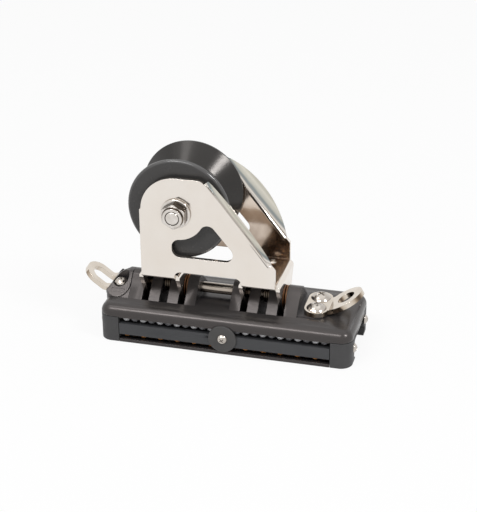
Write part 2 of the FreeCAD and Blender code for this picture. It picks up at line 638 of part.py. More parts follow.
# Cage: one folded sheet with two cheeks, two feet with hinge lugs, and flared lips
def cheek_corners():
    left = SLOT_ONE + " + lug_gap + sheet"
    right = SLOT_SIX + " + lug_gap"
    top = "axle_height + cheek_round"
    axle = "(hinge_centre + axle_offset)"
    return [(left, "floor_height"), (SLOT_THREE + " + lug_gap", "floor_height"),
            (SLOT_THREE + " + lug_gap", "floor_height + notch_rise"),
            (SLOT_FOUR + " + lug_gap + sheet", "floor_height + notch_rise"),
            (SLOT_FOUR + " + lug_gap + sheet", "floor_height"), (right, "floor_height"),
            (right, top + " - slope_drop"), ("slope_top", top), (axle, top), (left, "axle_height")]


def slope_line():
    """Ends of the cheek's sloping edge."""
    right = size("hinge_centre") + size("slot_reach") - size("slot_width") + size("lug_gap")
    top = size("axle_height") + size("cheek_round")
    return Vector(size("slope_top"), 0, top), Vector(right, 0, top - size("slope_drop"))


def cheek_window(axle):
    """A kidney between the axle boss and the strap beside the sloping edge."""
    high, low = slope_line()
    run = (low - high).normalize()
    inward = Vector(run.z, 0, -run.x)
    if inward.x > 0:
        inward = inward * -1
    a, b = high + inward * size("window_strap"), low + inward * size("window_strap")
    bottom = size("axle_height") - size("window_low_drop")
    left = axle.x - size("window_left")

    def at_height(z):
        return Vector(a.x + (b.x - a.x) * (z - a.z) / (b.z - a.z), 0, z)
    corners = [Vector(left, 0, bottom), at_height(bottom), at_height(axle.z + 12), Vector(left, 0, axle.z + 12)]
    shape = Part.Face(Part.makePolygon(corners + corners[:1])).extrude(Vector(0, size("sheet"), 0))
    shape = shape.cut(Part.makeCylinder(size("window_arc"), size("sheet") + 2,
                                        Vector(axle.x, -1, axle.z), ALONG_Y))
    shape = sorted(shape.Solids, key=lambda piece: piece.CenterOfMass.z)[0]
    uprights = [edge for edge in shape.Edges if is_line_along(edge, ALONG_Y)]
    return shape.makeFillet(size("window_round"), uprights)


def bend_line():
    """Ends of the line where the lip leaves the cheek, and the way outward from it."""
    high, low = slope_line()
    slope = (low - high).normalize()
    first = high + slope * size("lip_top")
    last = low - slope * size("lip_foot") - Vector(-slope.z, 0, slope.x) * size("lip_inset")
    run = (last - first).normalize()
    return first, last, Vector(-run.z, 0, run.x)


def lip_room():
    """What the cheek blank loses outside the bend line."""
    first, last, outward = bend_line()
    over = outward * 2 * size("lip_inset")
    ring = [first, first + over, last + over, last, first]
    return Part.Face(Part.makePolygon(ring)).extrude(Vector(0, size("sheet"), 0))


def lip(side):
    """The flared lip along the sloping edge: a bend, then a flap trimmed to an arc."""
    first, last, outward = bend_line()
    thick, inner = size("sheet"), size("lip_radius")
    angle = math.radians(size("lip_angle"))
    run = (last - first).normalize()
    flare = Vector(0, side, 0)
    inside = first + flare * (size("cage_inside") / 2)
    outside = inside + flare * thick
    centre = outside + flare * inner

    def turned(radius, by):
        return centre + outward * (radius * math.sin(by)) - flare * (radius * math.cos(by))
    along = outward * math.cos(angle) + flare * math.sin(angle)
    reach = along * 2 * size("lip_reach")
    back = outward * -thick
    edges = [Part.makeLine(outside + back, inside + back), Part.makeLine(inside + back, inside),
             Part.Arc(inside, turned(inner + thick, angle / 2), turned(inner + thick, angle)).toShape(),
             Part.makeLine(turned(inner + thick, angle), turned(inner + thick, angle) + reach),
             Part.makeLine(turned(inner + thick, angle) + reach, turned(inner, angle) + reach),
             Part.makeLine(turned(inner, angle) + reach, turned(inner, angle)),
             Part.Arc(turned(inner, angle), turned(inner, angle / 2), outside).toShape(),
             Part.makeLine(outside, outside + back)]
    strip = Part.Face(Part.Wire(edges)).extrude(last - first)
    # the trimming disc is square to the flap and passes near both ends of the bend line
    half = (last - first).Length / 2
    bulge = size("lip_reach")
    rise = bulge - size("lip_end")
    radius = (half * half + rise * rise) / (2 * rise)
    normal = (flare * math.cos(angle) - outward * math.sin(angle)).normalize()
    middle = turned(inner, 0) + run * half
    hub = middle + along * (bulge - radius)
    depth = size("cage_inside")
    disc = Part.makeCylinder(radius, 2 * depth, hub - normal * depth, normal)
    return strip.common(disc)


def lug_shape(x):
    """One hinge lug: straight tapering flanks tangent to the round eye."""
    radius = size("lug_radius")
    pin = size("pin_height")
    top = size("floor_height") + size("sheet") - size("cage_bend")
    rise = top - pin
    half = size("lug_half_width")
    reach = math.hypot(half, rise)
    steep = math.atan2(rise, half)
    touch = steep - math.acos(radius / reach)
    side = Vector(x, radius * math.cos(touch), pin + radius * math.sin(touch))
    other = Vector(x, -side.y, side.z)
    roof = size("floor_height") + size("sheet")
    points = [side, Vector(x, half, top), Vector(x, half, roof), Vector(x, -half, roof),
              Vector(x, -half, top), other]
    edges = [Part.makeLine(points[n], points[n + 1]) for n in range(5)]
    edges.append(Part.Arc(other, Vector(x, 0, pin - radius), side).toShape())
    return Part.Face(Part.Wire(edges)).extrude(Vector(size("sheet"), 0, 0))


def sheave_cage():
    thick = size("sheet")
    inside = size("cage_inside") / 2
    axle = Vector(size("hinge_centre") + size("axle_offset"), 0, size("axle_height"))
    cheek = extrusion("cheek_blank", outline("cheek_outline", "XZ", cheek_corners()), ALONG_Y, "sheet")
    boss = rod("cheek_crown", "Y", "cheek_round", "sheet", "hinge_centre + axle_offset", "0", "axle_height")
    blank = join("cheek_whole", cheek, boss)
    blank.Refine = True
    corner = size("slope_top")
    blank = rounded("cheek_shoulder", blank, "slope_round", lambda e: is_line_along(e, ALONG_Y)
                    and abs(e.CenterOfMass.x - corner) < 0.1)
    notch_top = size("floor_height") + size("notch_rise")
    blank = rounded("cheek_notch", blank, "notch_round", lambda e: is_line_along(e, ALONG_Y)
                    and abs(e.CenterOfMass.z - notch_top) < 0.1)
    hole = rod("cheek_axle_hole", "Y", "axle_diameter / 2 + seam", "sheet", "hinge_centre + axle_offset",
               "0", "axle_height")
    window = solid("cheek_window", cheek_window(axle))
    plate = cut("cheek_plate", blank, hole, window, solid("lip_room", lip_room()))
    doc.recompute()
    far = plate.Shape.copy()
    far.translate(Vector(0, inside, 0))
    near = plate.Shape.copy()
    near.translate(Vector(0, -inside - thick, 0))
    whole = far.fuse([near, lip(1), lip(-1)])
    lug_left = size("hinge_centre") - size("slot_reach") + size("lug_gap")
    lug_right = size("hinge_centre") + size("slot_reach") - size("slot_width") + size("lug_gap")
    span = size("slot_width") + 2 * size("rib_width") + size("spring_slot")
    floor, roof = size("floor_height"), size("floor_height") + thick
    half = size("lug_half_width")
    for x, low_cheek, high_cheek in ((lug_left, lug_left + thick, lug_left + span),
                                     (lug_right - span, lug_right - span + thick, lug_right)):
        # the floor folds up into both cheeks and down into the lugs
        deck = Part.makeBox(high_cheek - low_cheek, 2 * (inside + thick), thick,
                            Vector(low_cheek, -inside - thick, floor))
        neck = Part.makeBox(span + thick, 2 * half, thick, Vector(x, -half, floor))
        foot = neck.fuse([deck, lug_shape(x), lug_shape(x + span)])
        whole = whole.fuse(foot)
    whole = whole.removeSplitter()
    # outer radii of the folds
    bends = []
    for edge in whole.Edges:
        middle = edge.CenterOfMass
        if is_line_along(edge, ALONG_X) and abs(middle.z - floor) < 0.01 \
                and abs(abs(middle.y) - inside - thick) < 0.01:
            bends.append(edge)
        if is_line_along(edge, ALONG_Y) and abs(middle.z - roof) < 0.01 and abs(middle.y) < 1 \
                and edge.Length > half:
            bends.append(edge)
    whole = whole.makeFillet(size("cage_bend") - 1, bends)
    pin = size("pin_diameter") / 2 + size("pin_fit")
    length = size("body_length")
    whole = whole.cut(Part.makeCylinder(pin, length, Vector(-length / 2, 0, size("pin_height")), ALONG_X))
    for x in anchor_places():
        for side in (-1, 1):
            whole = whole.cut(Part.makeCylinder(size("anchor_screw") / 2 + size("seam"), 20,
                                                Vector(x, side * size("anchor_side"), floor - 5)))
    sub_part("sheave_cage", solid("cage_sheet", whole.removeSplitter()))


def anchor_places():
    """Middle of each spring slot, where the anchor screws stand."""
    first = size("hinge_centre") - size("slot_reach") + size("slot_width") + size("rib_width")
    last = size("hinge_centre") + size("slot_reach") - size("slot_width") - size("rib_width")
    return first + size("spring_slot") / 2, last - size("spring_slot") / 2


def anchor_screws():
    for end, x in (("left", SPRING_LEFT), ("right", SPRING_RIGHT)):
        for side, s in (("near", "0 - "), ("far", "")):
            pan_screw("%s_%s_anchor_screw" % (end, side), "Z", "anchor_head", "anchor_screw", 7,
                      x + " + spring_slot / 2", s + "anchor_side", "floor_height + sheet")


# Sheave, its bearing and the axle that clamps the cheeks on a distance sleeve
def axle_parts():
    x, z = "hinge_centre + axle_offset", "axle_height"
    outside = "(cage_inside / 2 + sheet)"
    wheel = rod("sheave_blank", "Y", "sheave_radius", "sheave_width", x, "0 - sheave_width / 2", z)
    groove = doc.addObject("Part::Torus", "rope_groove")
    groove.Placement.Rotation = AXIS_TURN["Y"]
    place(groove, x, "0", z)
    half = "(sheave_width / 2 - rim_flat)"
    arc = "((" + half + " * " + half + " + groove_depth * groove_depth) / (2 * groove_depth))"
    bind(groove, "Radius2", arc)
    bind(groove, "Radius1", "sheave_radius - groove_depth + " + arc)
    bore = rod("sheave_bore", "Y", "bearing_radius", "sheave_width", x, "0 - sheave_width / 2", z)
    wheel = cut("sheave_turned", wheel, groove, bore)
    rim = size("sheave_radius")
    doc.recompute()
    edges = [n for n, e in enumerate(wheel.Shape.Edges, 1) if isinstance(e.Curve, Part.Circle)
             and abs(e.Curve.Radius - rim) < 0.01
             and abs(abs(e.CenterOfMass.y) - size("sheave_width") / 2) < 0.01]
    rims = doc.addObject("Part::Chamfer", "sheave_rims")
    rims.Base = wheel
    rims.Edges = [(n, size("rim_chamfer"), size("rim_chamfer")) for n in edges]
    sub_part("sheave", rims)
    ring = rod("bearing_blank", "Y", "bearing_radius - seam", "sheave_width", x, "0 - sheave_width / 2", z)
    hole = rod("bearing_hole", "Y", "sleeve_radius + pin_fit", "sheave_width", x, "0 - sheave_width / 2", z)
    sub_part("sheave_bearing", cut("bearing_ring", ring, hole))
    sleeve = rod("sleeve_blank", "Y", "sleeve_radius", "cage_inside - seam", x,
                 "0 - cage_inside / 2 + seam / 2", z)
    hole = rod("sleeve_hole", "Y", "axle_diameter / 2 + seam", "cage_inside - seam", x,
               "0 - cage_inside / 2 + seam / 2", z)
    sub_part("distance_sleeve", cut("sleeve_tube", sleeve, hole))
    for side, s in (("near", -1), ("far", 1)):
        # a plastic ring fills the gap between the sheave and the cheek
        gap = "(cage_inside / 2 - sheave_width / 2 - 2 * running_gap)"
        low = ("0 - cage_inside / 2 + running_gap" if s < 0 else "sheave_width / 2 + running_gap")
        ring = rod(side + "_side_disc", "Y", "bearing_radius + 2", gap, x, low, z)
        hole = rod(side + "_side_hole", "Y", "sleeve_radius + seam", gap, x, low, z)
        sub_part(side + "_side_ring", cut(side + "_side_washer", ring, hole))
        low = ("0 - %s - washer_thickness" % outside if s < 0 else outside)
        ring = rod(side + "_washer_disc", "Y", "washer_radius", "washer_thickness", x, low, z)
        hole = rod(side + "_washer_hole", "Y", "axle_diameter / 2 + seam", "washer_thickness", x, low, z)
        sub_part(side + "_axle_washer", cut(side + "_washer_ring", ring, hole))
    seat = outside + " + washer_thickness"
    head = hexagon("bolt_hexagon", "Y", "nut_flats", "bolt_head", x, seat, z)
    shank = rod("bolt_shank", "-Y", "axle_diameter / 2",
                "2 * " + outside + " + 2 * washer_thickness + nut_height + nut_collar + 0.6", x, seat, z)
    sub_part("axle_bolt", join("axle_bolt_whole", head, shank))
    nut = hexagon("nut_hexagon", "-Y", "nut_flats", "nut_height", x, "0 - (" + seat + ")", z)
    collar = rod("nut_collar_ring", "-Y", "nut_flats / 2 - 1", "nut_height + nut_collar", x,
                 "0 - (" + seat + ")", z)
    nut = join("nut_whole", nut, collar)
    hole = rod("nut_hole", "-Y", "axle_diameter / 2 + seam", "nut_height + nut_collar", x,
               "0 - (" + seat + ")", z)
    sub_part("axle_nut", cut("nut_tapped", nut, hole))


slider_body()
for side in ("near", "far"):
    for end in ("left", "right"):
        return_cap(side, end)
        axis, x = ("-X", LEFT_END) if end == "left" else ("X", HALF_LENGTH)
        pan_screw("%s_%s_cap_screw" % (side, end), axis, "cap_head", "cap_screw", 22, x,
                  ("0 - " if side == "near" else "") + "cap_screw_side", "cap_screw_height")
    race_bar(side)
    clamp_disc(side)
    for level in ("upper", "lower"):
        ball_row(side, level)
tow_loop("left")
tow_loop("right")
left_end_cover()
hinge_parts()
sheave_cage()
anchor_screws()
axle_parts()
doc.recompute()

# Every object has to be sound before anything is written
for item in doc.Objects:
    if "Invalid" in item.State or "Error" in item.State:
        raise RuntimeError("object failed: %s %s" % (item.Label, item.State))
for label, item in node_parts.items():
    if item.Shape.isNull() or not item.Shape.isValid() or not item.Shape.Solids:
        raise RuntimeError("bad shape: " + label)

os.makedirs("parts", exist_ok=True)
for label, item in node_parts.items():
    item.Shape.exportStep(os.path.join("parts", label + ".step"))
print("wrote %d parts" % len(node_parts))
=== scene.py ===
# Genoa car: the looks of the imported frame. Metres, X along the slider, Z up.
import json
import math
import bpy
import bmesh
import numpy as np
from mathutils import Matrix, Vector


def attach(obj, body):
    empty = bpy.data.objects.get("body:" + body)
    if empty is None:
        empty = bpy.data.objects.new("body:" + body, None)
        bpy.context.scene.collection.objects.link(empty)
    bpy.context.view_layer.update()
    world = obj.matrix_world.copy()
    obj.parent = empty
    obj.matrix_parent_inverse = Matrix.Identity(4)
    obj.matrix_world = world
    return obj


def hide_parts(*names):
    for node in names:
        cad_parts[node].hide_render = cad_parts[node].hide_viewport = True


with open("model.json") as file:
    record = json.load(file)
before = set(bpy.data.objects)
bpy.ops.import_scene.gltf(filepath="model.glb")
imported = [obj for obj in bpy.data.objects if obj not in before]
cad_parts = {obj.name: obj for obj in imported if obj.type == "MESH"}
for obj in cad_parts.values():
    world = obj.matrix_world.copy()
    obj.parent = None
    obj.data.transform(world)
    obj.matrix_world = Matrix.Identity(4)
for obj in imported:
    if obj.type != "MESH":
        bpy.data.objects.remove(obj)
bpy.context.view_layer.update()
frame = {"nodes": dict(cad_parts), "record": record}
nodes = frame["nodes"]
mm = 0.001
bodyOf = {node: body for body, members in frame["record"]["behaviour"]["bodies"].items() for node in members}
slotOf = {entry["node"]: entry["material_slot"] for entry in frame["record"]["subparts"]}
print("frame loaded, nodes:", len(nodes))


# view, in degrees, metres and pixels
viewpoint = {"azimuth": 14.88, "elevation": 26.37, "roll": -0.46, "distance": 1.08735,
             "slideRight": 0.00282, "slideUp": 0.05672, "focalPixels": 1443.98, "pictureHeight": 512,
             "sensor": 36.0, "clip": (0.01, 20.0)}


def placeCamera(view):
    # back = (sin a cos e, -cos a cos e, sin e), and right is level before the small roll
    a, e, r = (math.radians(view[key]) for key in ("azimuth", "elevation", "roll"))
    back = np.array([math.sin(a) * math.cos(e), -math.cos(a) * math.cos(e), math.sin(e)])
    level = np.array([math.cos(a), math.sin(a), 0.0])
    rise = np.cross(back, level)
    right = math.cos(r) * level + math.sin(r) * rise
    up = -math.sin(r) * level + math.cos(r) * rise
    spot = right * view["slideRight"] + up * view["slideUp"] + back * view["distance"]
    lens = bpy.data.cameras.new("photoCamera")
    lens.sensor_width = view["sensor"]
    lens.lens = view["focalPixels"] * view["sensor"] / view["pictureHeight"]
    lens.clip_start, lens.clip_end = view["clip"]
    seat = bpy.data.objects.new("photoCamera", lens)
    turn = np.eye(4)
    turn[:3, 0], turn[:3, 1], turn[:3, 2], turn[:3, 3] = right, up, back, spot
    seat.matrix_world = Matrix(turn.tolist())
    bpy.context.scene.collection.objects.link(seat)
    bpy.context.scene.camera = seat


placeCamera(viewpoint)
bpy.context.scene.view_settings.view_transform = "Standard"
print("camera placed")


# finishes: reaches, edges and bump depths in millimetres, scales in cycles per metre
noiseForm = {"roughness": 0.55, "from": 0.3, "to": 0.7}
shaderSamples = 6
plainLook = {"patchScale": 60, "roughScale": 140, "grain": (1, 1, 1), "metal": 0, "gloss": 0.5,
             "glint": (1, 1, 1), "edge": 0.3, "bump": 0.15, "bumpDepth": 0.05, "bumpScale": 2500,
             "layers": ()}


def wire(tree, source, socket):
    # a node's output is linked to the socket, and a plain value is set on it
    if isinstance(source, bpy.types.NodeSocket):
        tree.links.new(source, socket)
    else:
        socket.default_value = source


def addNode(tree, kind, inputs=(), **settings):
    # inputs gives each socket a node's output or a value, by its name or number
    node = tree.nodes.new(kind)
    for key, value in settings.items():
        setattr(node, key, value)
    for key, source in dict(inputs).items():
        wire(tree, source, node.inputs[key])
    return node


def maths(tree, operation, first, second):
    # each of the two is a node's output or a number
    return addNode(tree, "ShaderNodeMath", {0: first, 1: second}, operation=operation).outputs[0]


def blend(tree, kind, amount, first, second):
    mix = addNode(tree, "ShaderNodeMix", {"Factor": amount, "A": first, "B": second},
                  data_type="RGBA", blend_type=kind)
    return mix.outputs["Result"]


def noiseRange(tree, coords, scale, low, high, detail=3.0, stretch=(1, 1, 1)):
    # a noise at one scale, spread between two values
    mapping = addNode(tree, "ShaderNodeMapping", {"Vector": coords, "Scale": [scale * s for s in stretch]})
    noise = addNode(tree, "ShaderNodeTexNoise", {
        "Vector": mapping.outputs["Vector"], "Scale": 1.0, "Detail": detail,
        "Roughness": noiseForm["roughness"]})
    spread = addNode(tree, "ShaderNodeMapRange", {
        "Value": noise.outputs["Fac"], "From Min": noiseForm["from"], "From Max": noiseForm["to"],
        "To Min": low, "To Max": high})
    return spread.outputs["Result"]


def ramp(tree, value, stops):
    # a colour ramp over a value from 0 to 1
    band = addNode(tree, "ShaderNodeValToRGB", {"Fac": value})
    for n, (spot, colour) in enumerate(stops):
        stop = band.color_ramp.elements[n] if n < 2 else band.color_ramp.elements.new(spot)
        stop.position, stop.color = spot, (*colour, 1)
    return band.outputs["Color"]


def paintedCreviceShade(reach, floor, low=0.15, high=0.85):
    # painted shade: colour is multiplied by the floor tone where walls stand close, darkening hollows, slots
    # and crevices as if shade fell in them
    def layer(tree, coords, colour):
        hollow = addNode(tree, "ShaderNodeAmbientOcclusion", {"Distance": reach * mm}, samples=shaderSamples)
        band = ramp(tree, hollow.outputs["AO"], [(low, floor), (high, (1, 1, 1))])
        return blend(tree, "MULTIPLY", 1.0, colour, band)
    return layer


def paintedRidgeSheen(height, tone):
    # painted sheen: colour is divided by the tone below the height, which leaves the ridge paler, as if its
    # flanks caught the light
    def layer(tree, coords, colour):
        split = addNode(tree, "ShaderNodeSeparateXYZ", {"Vector": coords})
        above = maths(tree, "GREATER_THAN", split.outputs["Z"], height * mm)
        band = ramp(tree, above, [(0.0, (1 / tone,) * 3), (1.0, (1, 1, 1))])
        return blend(tree, "MULTIPLY", 1.0, colour, band)
    return layer


def paintedRimReflection(stops):
    # painted reflection: each face is toned by the piece's own paintedRimReflection attribute, which darkens
    # plate rims and nut facets as if they mirrored dark things
    def layer(tree, coords, colour):
        tone = addNode(tree, "ShaderNodeAttribute", attribute_name="paintedRimReflection")
        return blend(tree, "MULTIPLY", 1.0, colour, ramp(tree, tone.outputs["Fac"], stops))
    return layer


def paintedLipReflections(streaks):
    # painted reflections: streaks of tone across the lip stand for what its polished steel mirrors; tone
    # follows the distance from the bend line, in reaches: (x - x0) * ox + (z - z0) * oz
    def layer(tree, coords, colour):
        place = addNode(tree, "ShaderNodeMapping", {
            "Vector": coords, "Location": [v * mm for v in streaks["bend"]],
            "Rotation": (0, streaks["turn"], 0), "Scale": [streaks["reach"] * mm] * 3}, vector_type="TEXTURE")
        split = addNode(tree, "ShaderNodeSeparateXYZ", {"Vector": place.outputs["Vector"]})
        wave = noiseRange(tree, coords, streaks["waveScale"], -streaks["wave"], streaks["wave"], 2,
                          streaks["stretch"])
        shift = maths(tree, "ADD", split.outputs["X"], wave)
        return blend(tree, "MULTIPLY", 1.0, colour, ramp(tree, shift, streaks["stops"]))
    return layer


def paintedInsideShade(inner):
    # painted reflection and shade: faces marked inner are dimmed to brown, darkest low down, in place of the
    # dark reflections and shade inside the cage
    def layer(tree, coords, colour):
        split = addNode(tree, "ShaderNodeSeparateXYZ", {"Vector": coords})
        rise = addNode(tree, "ShaderNodeMapRange", {
            "Value": split.outputs["Z"], "From Min": inner["low"] * mm, "From Max": inner["high"] * mm})
        wave = noiseRange(tree, coords, inner["waveScale"], -inner["wave"], inner["wave"], 2)
        shift = maths(tree, "ADD", rise.outputs["Result"], wave)
        dim = blend(tree, "MULTIPLY", 1.0, colour, ramp(tree, shift, inner["stops"]))
        mark = addNode(tree, "ShaderNodeAttribute", attribute_name="inner")
        return blend(tree, "MIX", mark.outputs["Fac"], colour, dim)
    return layer


def makeFinish(name, look):
    # patchy colour, patchy roughness and a fine grain over softly rounded edges
    look = {**plainLook, **look}
    finish = bpy.data.materials.new(name)
    finish.use_nodes = True
    tree = finish.node_tree
    coords = addNode(tree, "ShaderNodeTexCoord").outputs["Object"]
    patches = noiseRange(tree, coords, look["patchScale"], 0, 1)
    colour = blend(tree, "MIX", patches, (*look["colour"], 1), (*look["shade"], 1))
    for layer in look["layers"]:
        colour = layer(tree, coords, colour)
    edges = addNode(tree, "ShaderNodeBevel", {"Radius": look["edge"] * mm}, samples=shaderSamples)
    bump = addNode(tree, "ShaderNodeBump", {
        "Strength": look["bump"], "Distance": look["bumpDepth"] * mm, "Normal": edges.outputs["Normal"],
        "Height": noiseRange(tree, coords, look["bumpScale"], 0, 1, 2, look["grain"])})
    sockets = {"Base Color": colour, "Metallic": look["metal"], "Specular IOR Level": look["gloss"],
               "Specular Tint": (*look["glint"], 1), "Normal": bump.outputs["Normal"],
               "Roughness": noiseRange(tree, coords, look["roughScale"], *look["rough"], 4, look["grain"])}
    for key, value in sockets.items():
        wire(tree, value, tree.nodes["Principled BSDF"].inputs[key])
    return finish


# painted reflection and shade inside the cage, darkest low down, and painted reflection streaks across its
# lips
insideShadeLook = {"low": 52, "high": 118, "waveScale": 55, "wave": 0.22,
             "stops": [(0.0, (0.34, 0.28, 0.235)), (0.25, (0.48, 0.41, 0.355)),
                       (0.6, (0.86, 0.79, 0.73)), (1.0, (0.96, 0.91, 0.86))]}
lipReflectionLook = {"bend": (-14.5, 0, 129.6), "turn": -0.69, "reach": 10.0, "waveScale": 90, "wave": 0.05,
           "stretch": (0.3, 1, 0.3),
           "stops": [(0.0, (1, 1, 1)), (0.04, (1.0, 1.0, 1.0)), (0.10, (0.62, 0.62, 0.62)),
                     (0.18, (0.95, 0.95, 0.94)), (0.26, (0.40, 0.44, 0.46)), (0.34, (0.30, 0.36, 0.39)),
                     (0.44, (0.62, 0.65, 0.63)), (0.60, (0.80, 0.82, 0.78)), (0.74, (0.62, 0.64, 0.60)),
                     (0.86, (0.90, 0.90, 0.88)), (1.0, (0.55, 0.55, 0.52))]}
# the layers paint light and shade into colour: shade in hollows, a sheen on the slider's ridge, and
# reflections on the cage's lips and inside, on plate rims and on nut and bolt facets
finishes = {
    "dark_alloy": makeFinish("hardAnodised", {
        "colour": (0.046, 0.042, 0.041), "shade": (0.049, 0.045, 0.044), "rough": (0.245, 0.265), "edge": 0.5,
        "gloss": 0.5, "glint": (1.0, 0.91, 0.885), "bump": 0.08, "bumpScale": 4000,
        "layers": [paintedRidgeSheen(28.6, 1.45), paintedCreviceShade(9, (0.5, 0.53, 0.6))]}),
    "cap_plastic": makeFinish("mouldedCap", {
        "colour": (0.050, 0.049, 0.050), "shade": (0.060, 0.059, 0.060), "rough": (0.5, 0.6), "edge": 0.4,
        "gloss": 0.35, "layers": [paintedCreviceShade(2, (0.12, 0.12, 0.13))]}),
    "bar_alloy": makeFinish("barAnodised", {
        "colour": (0.042, 0.043, 0.046), "shade": (0.049, 0.050, 0.053), "rough": (0.42, 0.52), "edge": 0.25,
        "gloss": 0.4, "grain": (0.1, 1, 1), "layers": [paintedCreviceShade(3, (0.3, 0.3, 0.32))]}),
    "disc_plastic": makeFinish("discSatin", {
        "colour": (0.050, 0.048, 0.047), "shade": (0.062, 0.060, 0.059), "rough": (0.45, 0.55), "gloss": 0.4,
        "layers": [paintedCreviceShade(2, (0.3, 0.3, 0.3))]}),
    "sheave_alloy": makeFinish("sheaveAnodised", {
        "colour": (0.050, 0.048, 0.047), "shade": (0.055, 0.053, 0.052), "rough": (0.24, 0.28), "edge": 0.2,
        "gloss": 0.3, "grain": (1, 0.2, 1), "bump": 0.06}),
    # the groove is the wheel's alloy made about four times darker: painted shade of the groove
    "sheave_groove": makeFinish("grooveAnodised", {
        "colour": (0.012, 0.0115, 0.011), "shade": (0.016, 0.0155, 0.015), "rough": (0.21, 0.24), "edge": 0.2,
        "gloss": 0.42, "glint": (1.0, 0.95, 0.91), "grain": (1, 0.2, 1), "bump": 0.06}),
    "sheave_crest": makeFinish("crestAnodised", {
        "colour": (0.042, 0.040, 0.039), "shade": (0.048, 0.046, 0.045), "patchScale": 90,
        "rough": (0.14, 0.18), "edge": 0.3, "gloss": 0.9, "grain": (1, 0.2, 1), "bump": 0.06}),
    "bearing_plastic": makeFinish("bearingBlack", {
        "colour": (0.02, 0.02, 0.02), "shade": (0.03, 0.03, 0.03), "rough": (0.4, 0.5)}),
    "cage_steel": makeFinish("electropolishedSheet", {
        "colour": (0.80, 0.75, 0.695), "shade": (0.77, 0.71, 0.645), "patchScale": 38, "rough": (0.09, 0.15),
        "metal": 1, "edge": 0.35, "bump": 0.04, "bumpScale": 700,
        "layers": [paintedLipReflections(lipReflectionLook), paintedInsideShade(insideShadeLook), paintedCreviceShade(8, (0.4, 0.33, 0.27), 0.05, 0.7)]}),
    "tow_steel": makeFinish("polishedPlate", {
        "colour": (0.80, 0.755, 0.70), "shade": (0.70, 0.645, 0.575), "patchScale": 120,
        "rough": (0.08, 0.14), "metal": 1, "edge": 0.3, "bump": 0.04, "bumpScale": 900,
        "layers": [paintedRimReflection([(0.0, (0.13, 0.10, 0.08)), (0.3, (0.42, 0.35, 0.28)), (0.6, (0.72, 0.66, 0.59)),
                            (1.0, (0.9, 0.87, 0.83))]), paintedCreviceShade(2.5, (0.35, 0.3, 0.25))]}),
    "bright_steel": makeFinish("polishedFastener", {
        "colour": (0.76, 0.72, 0.68), "shade": (0.60, 0.555, 0.51), "patchScale": 200, "rough": (0.07, 0.13),
        "metal": 1, "edge": 0.2, "bump": 0.03, "layers": [paintedCreviceShade(1.8, (0.10, 0.085, 0.07))]}),
    "screw_steel": makeFinish("screwHead", {
        "colour": (0.60, 0.56, 0.515), "shade": (0.42, 0.38, 0.34), "patchScale": 260, "rough": (0.14, 0.2),
        "metal": 1, "edge": 0.2, "bump": 0.03, "layers": [paintedCreviceShade(2.2, (0.05, 0.04, 0.035), 0.1, 0.95)]}),
    "nut_steel": makeFinish("nutFacets", {
        "colour": (0.74, 0.70, 0.66), "shade": (0.60, 0.555, 0.51), "patchScale": 200, "rough": (0.08, 0.14),
        "metal": 1, "edge": 0.25, "bump": 0.03, "layers": [
            paintedRimReflection([(0.0, (0.10, 0.08, 0.065)), (0.35, (0.22, 0.185, 0.155)), (0.7, (0.6, 0.56, 0.52)),
                     (1.0, (1, 1, 1))]), paintedCreviceShade(2.5, (0.10, 0.085, 0.07))]}),
    # the pin's steel is darker and browner than the other steel: painted shade and reflection of the dark
    # body and cage round it
    "pin_steel": makeFinish("groundPin", {
        "colour": (0.50, 0.45, 0.395), "shade": (0.40, 0.35, 0.30), "patchScale": 90, "rough": (0.14, 0.2),
        "metal": 1, "edge": 0.2, "grain": (0.05, 1, 1),
        "layers": [paintedCreviceShade(14, (0.12, 0.09, 0.07), 0.1, 0.8)]}),
    # the spring wire is dark brown: painted shade of the slots it sits in
    "spring_steel": makeFinish("springWire", {
        "colour": (0.20, 0.165, 0.13), "shade": (0.10, 0.08, 0.06), "rough": (0.25, 0.35), "metal": 1}),
    "pale_balls": makeFinish("paleBall", {
        "colour": (0.66, 0.66, 0.67), "shade": (0.56, 0.56, 0.58), "patchScale": 300, "rough": (0.15, 0.2),
        "layers": [paintedCreviceShade(2.5, (0.15, 0.15, 0.16))]}),
    "dim_balls": makeFinish("dimBall", {
        "colour": (0.20, 0.20, 0.21), "shade": (0.15, 0.15, 0.16), "patchScale": 300, "rough": (0.15, 0.2),
        "layers": [paintedCreviceShade(2.5, (0.15, 0.15, 0.16))]}),
    "amber_balls": makeFinish("amberBall", {
        "colour": (0.55, 0.25, 0.08), "shade": (0.42, 0.18, 0.05), "patchScale": 300, "rough": (0.2, 0.28),
        "layers": [paintedCreviceShade(2.5, (0.3, 0.25, 0.2))]}),
    "brown_balls": makeFinish("brownBall", {
        "colour": (0.035, 0.022, 0.015), "shade": (0.025, 0.016, 0.01), "patchScale": 300,
        "rough": (0.2, 0.28)}),
    "amber_plastic": makeFinish("amberWasher", {
        "colour": (0.26, 0.11, 0.035), "shade": (0.19, 0.08, 0.025), "rough": (0.3, 0.4)}),
}
print("finishes made:", len(finishes))


# mesh tools: gaps in metres, and facing limits as the cosine between a face's normal and a way
welding = {"pieceGap": 1e-7, "nodeGap": 2e-6, "flatDegrees": 0.4}
facing = {"plate": 0.75, "sheet": 0.97, "flank": 0.6}


def gridFaces(rows, columns, closeRows, closeColumns):
    # quads between neighbouring points of a rows x columns grid; a closed way wraps round
    r = np.arange(rows if closeRows else rows - 1)[:, None]
    c = np.arange(columns if closeColumns else columns - 1)[None, :]
    nextR, nextC = (r + 1) % rows, (c + 1) % columns
    corners = [r * columns + c, r * columns + nextC, nextR * columns + nextC, nextR * columns + c]
    return np.stack(np.broadcast_arrays(*corners), -1).reshape(-1, 4)


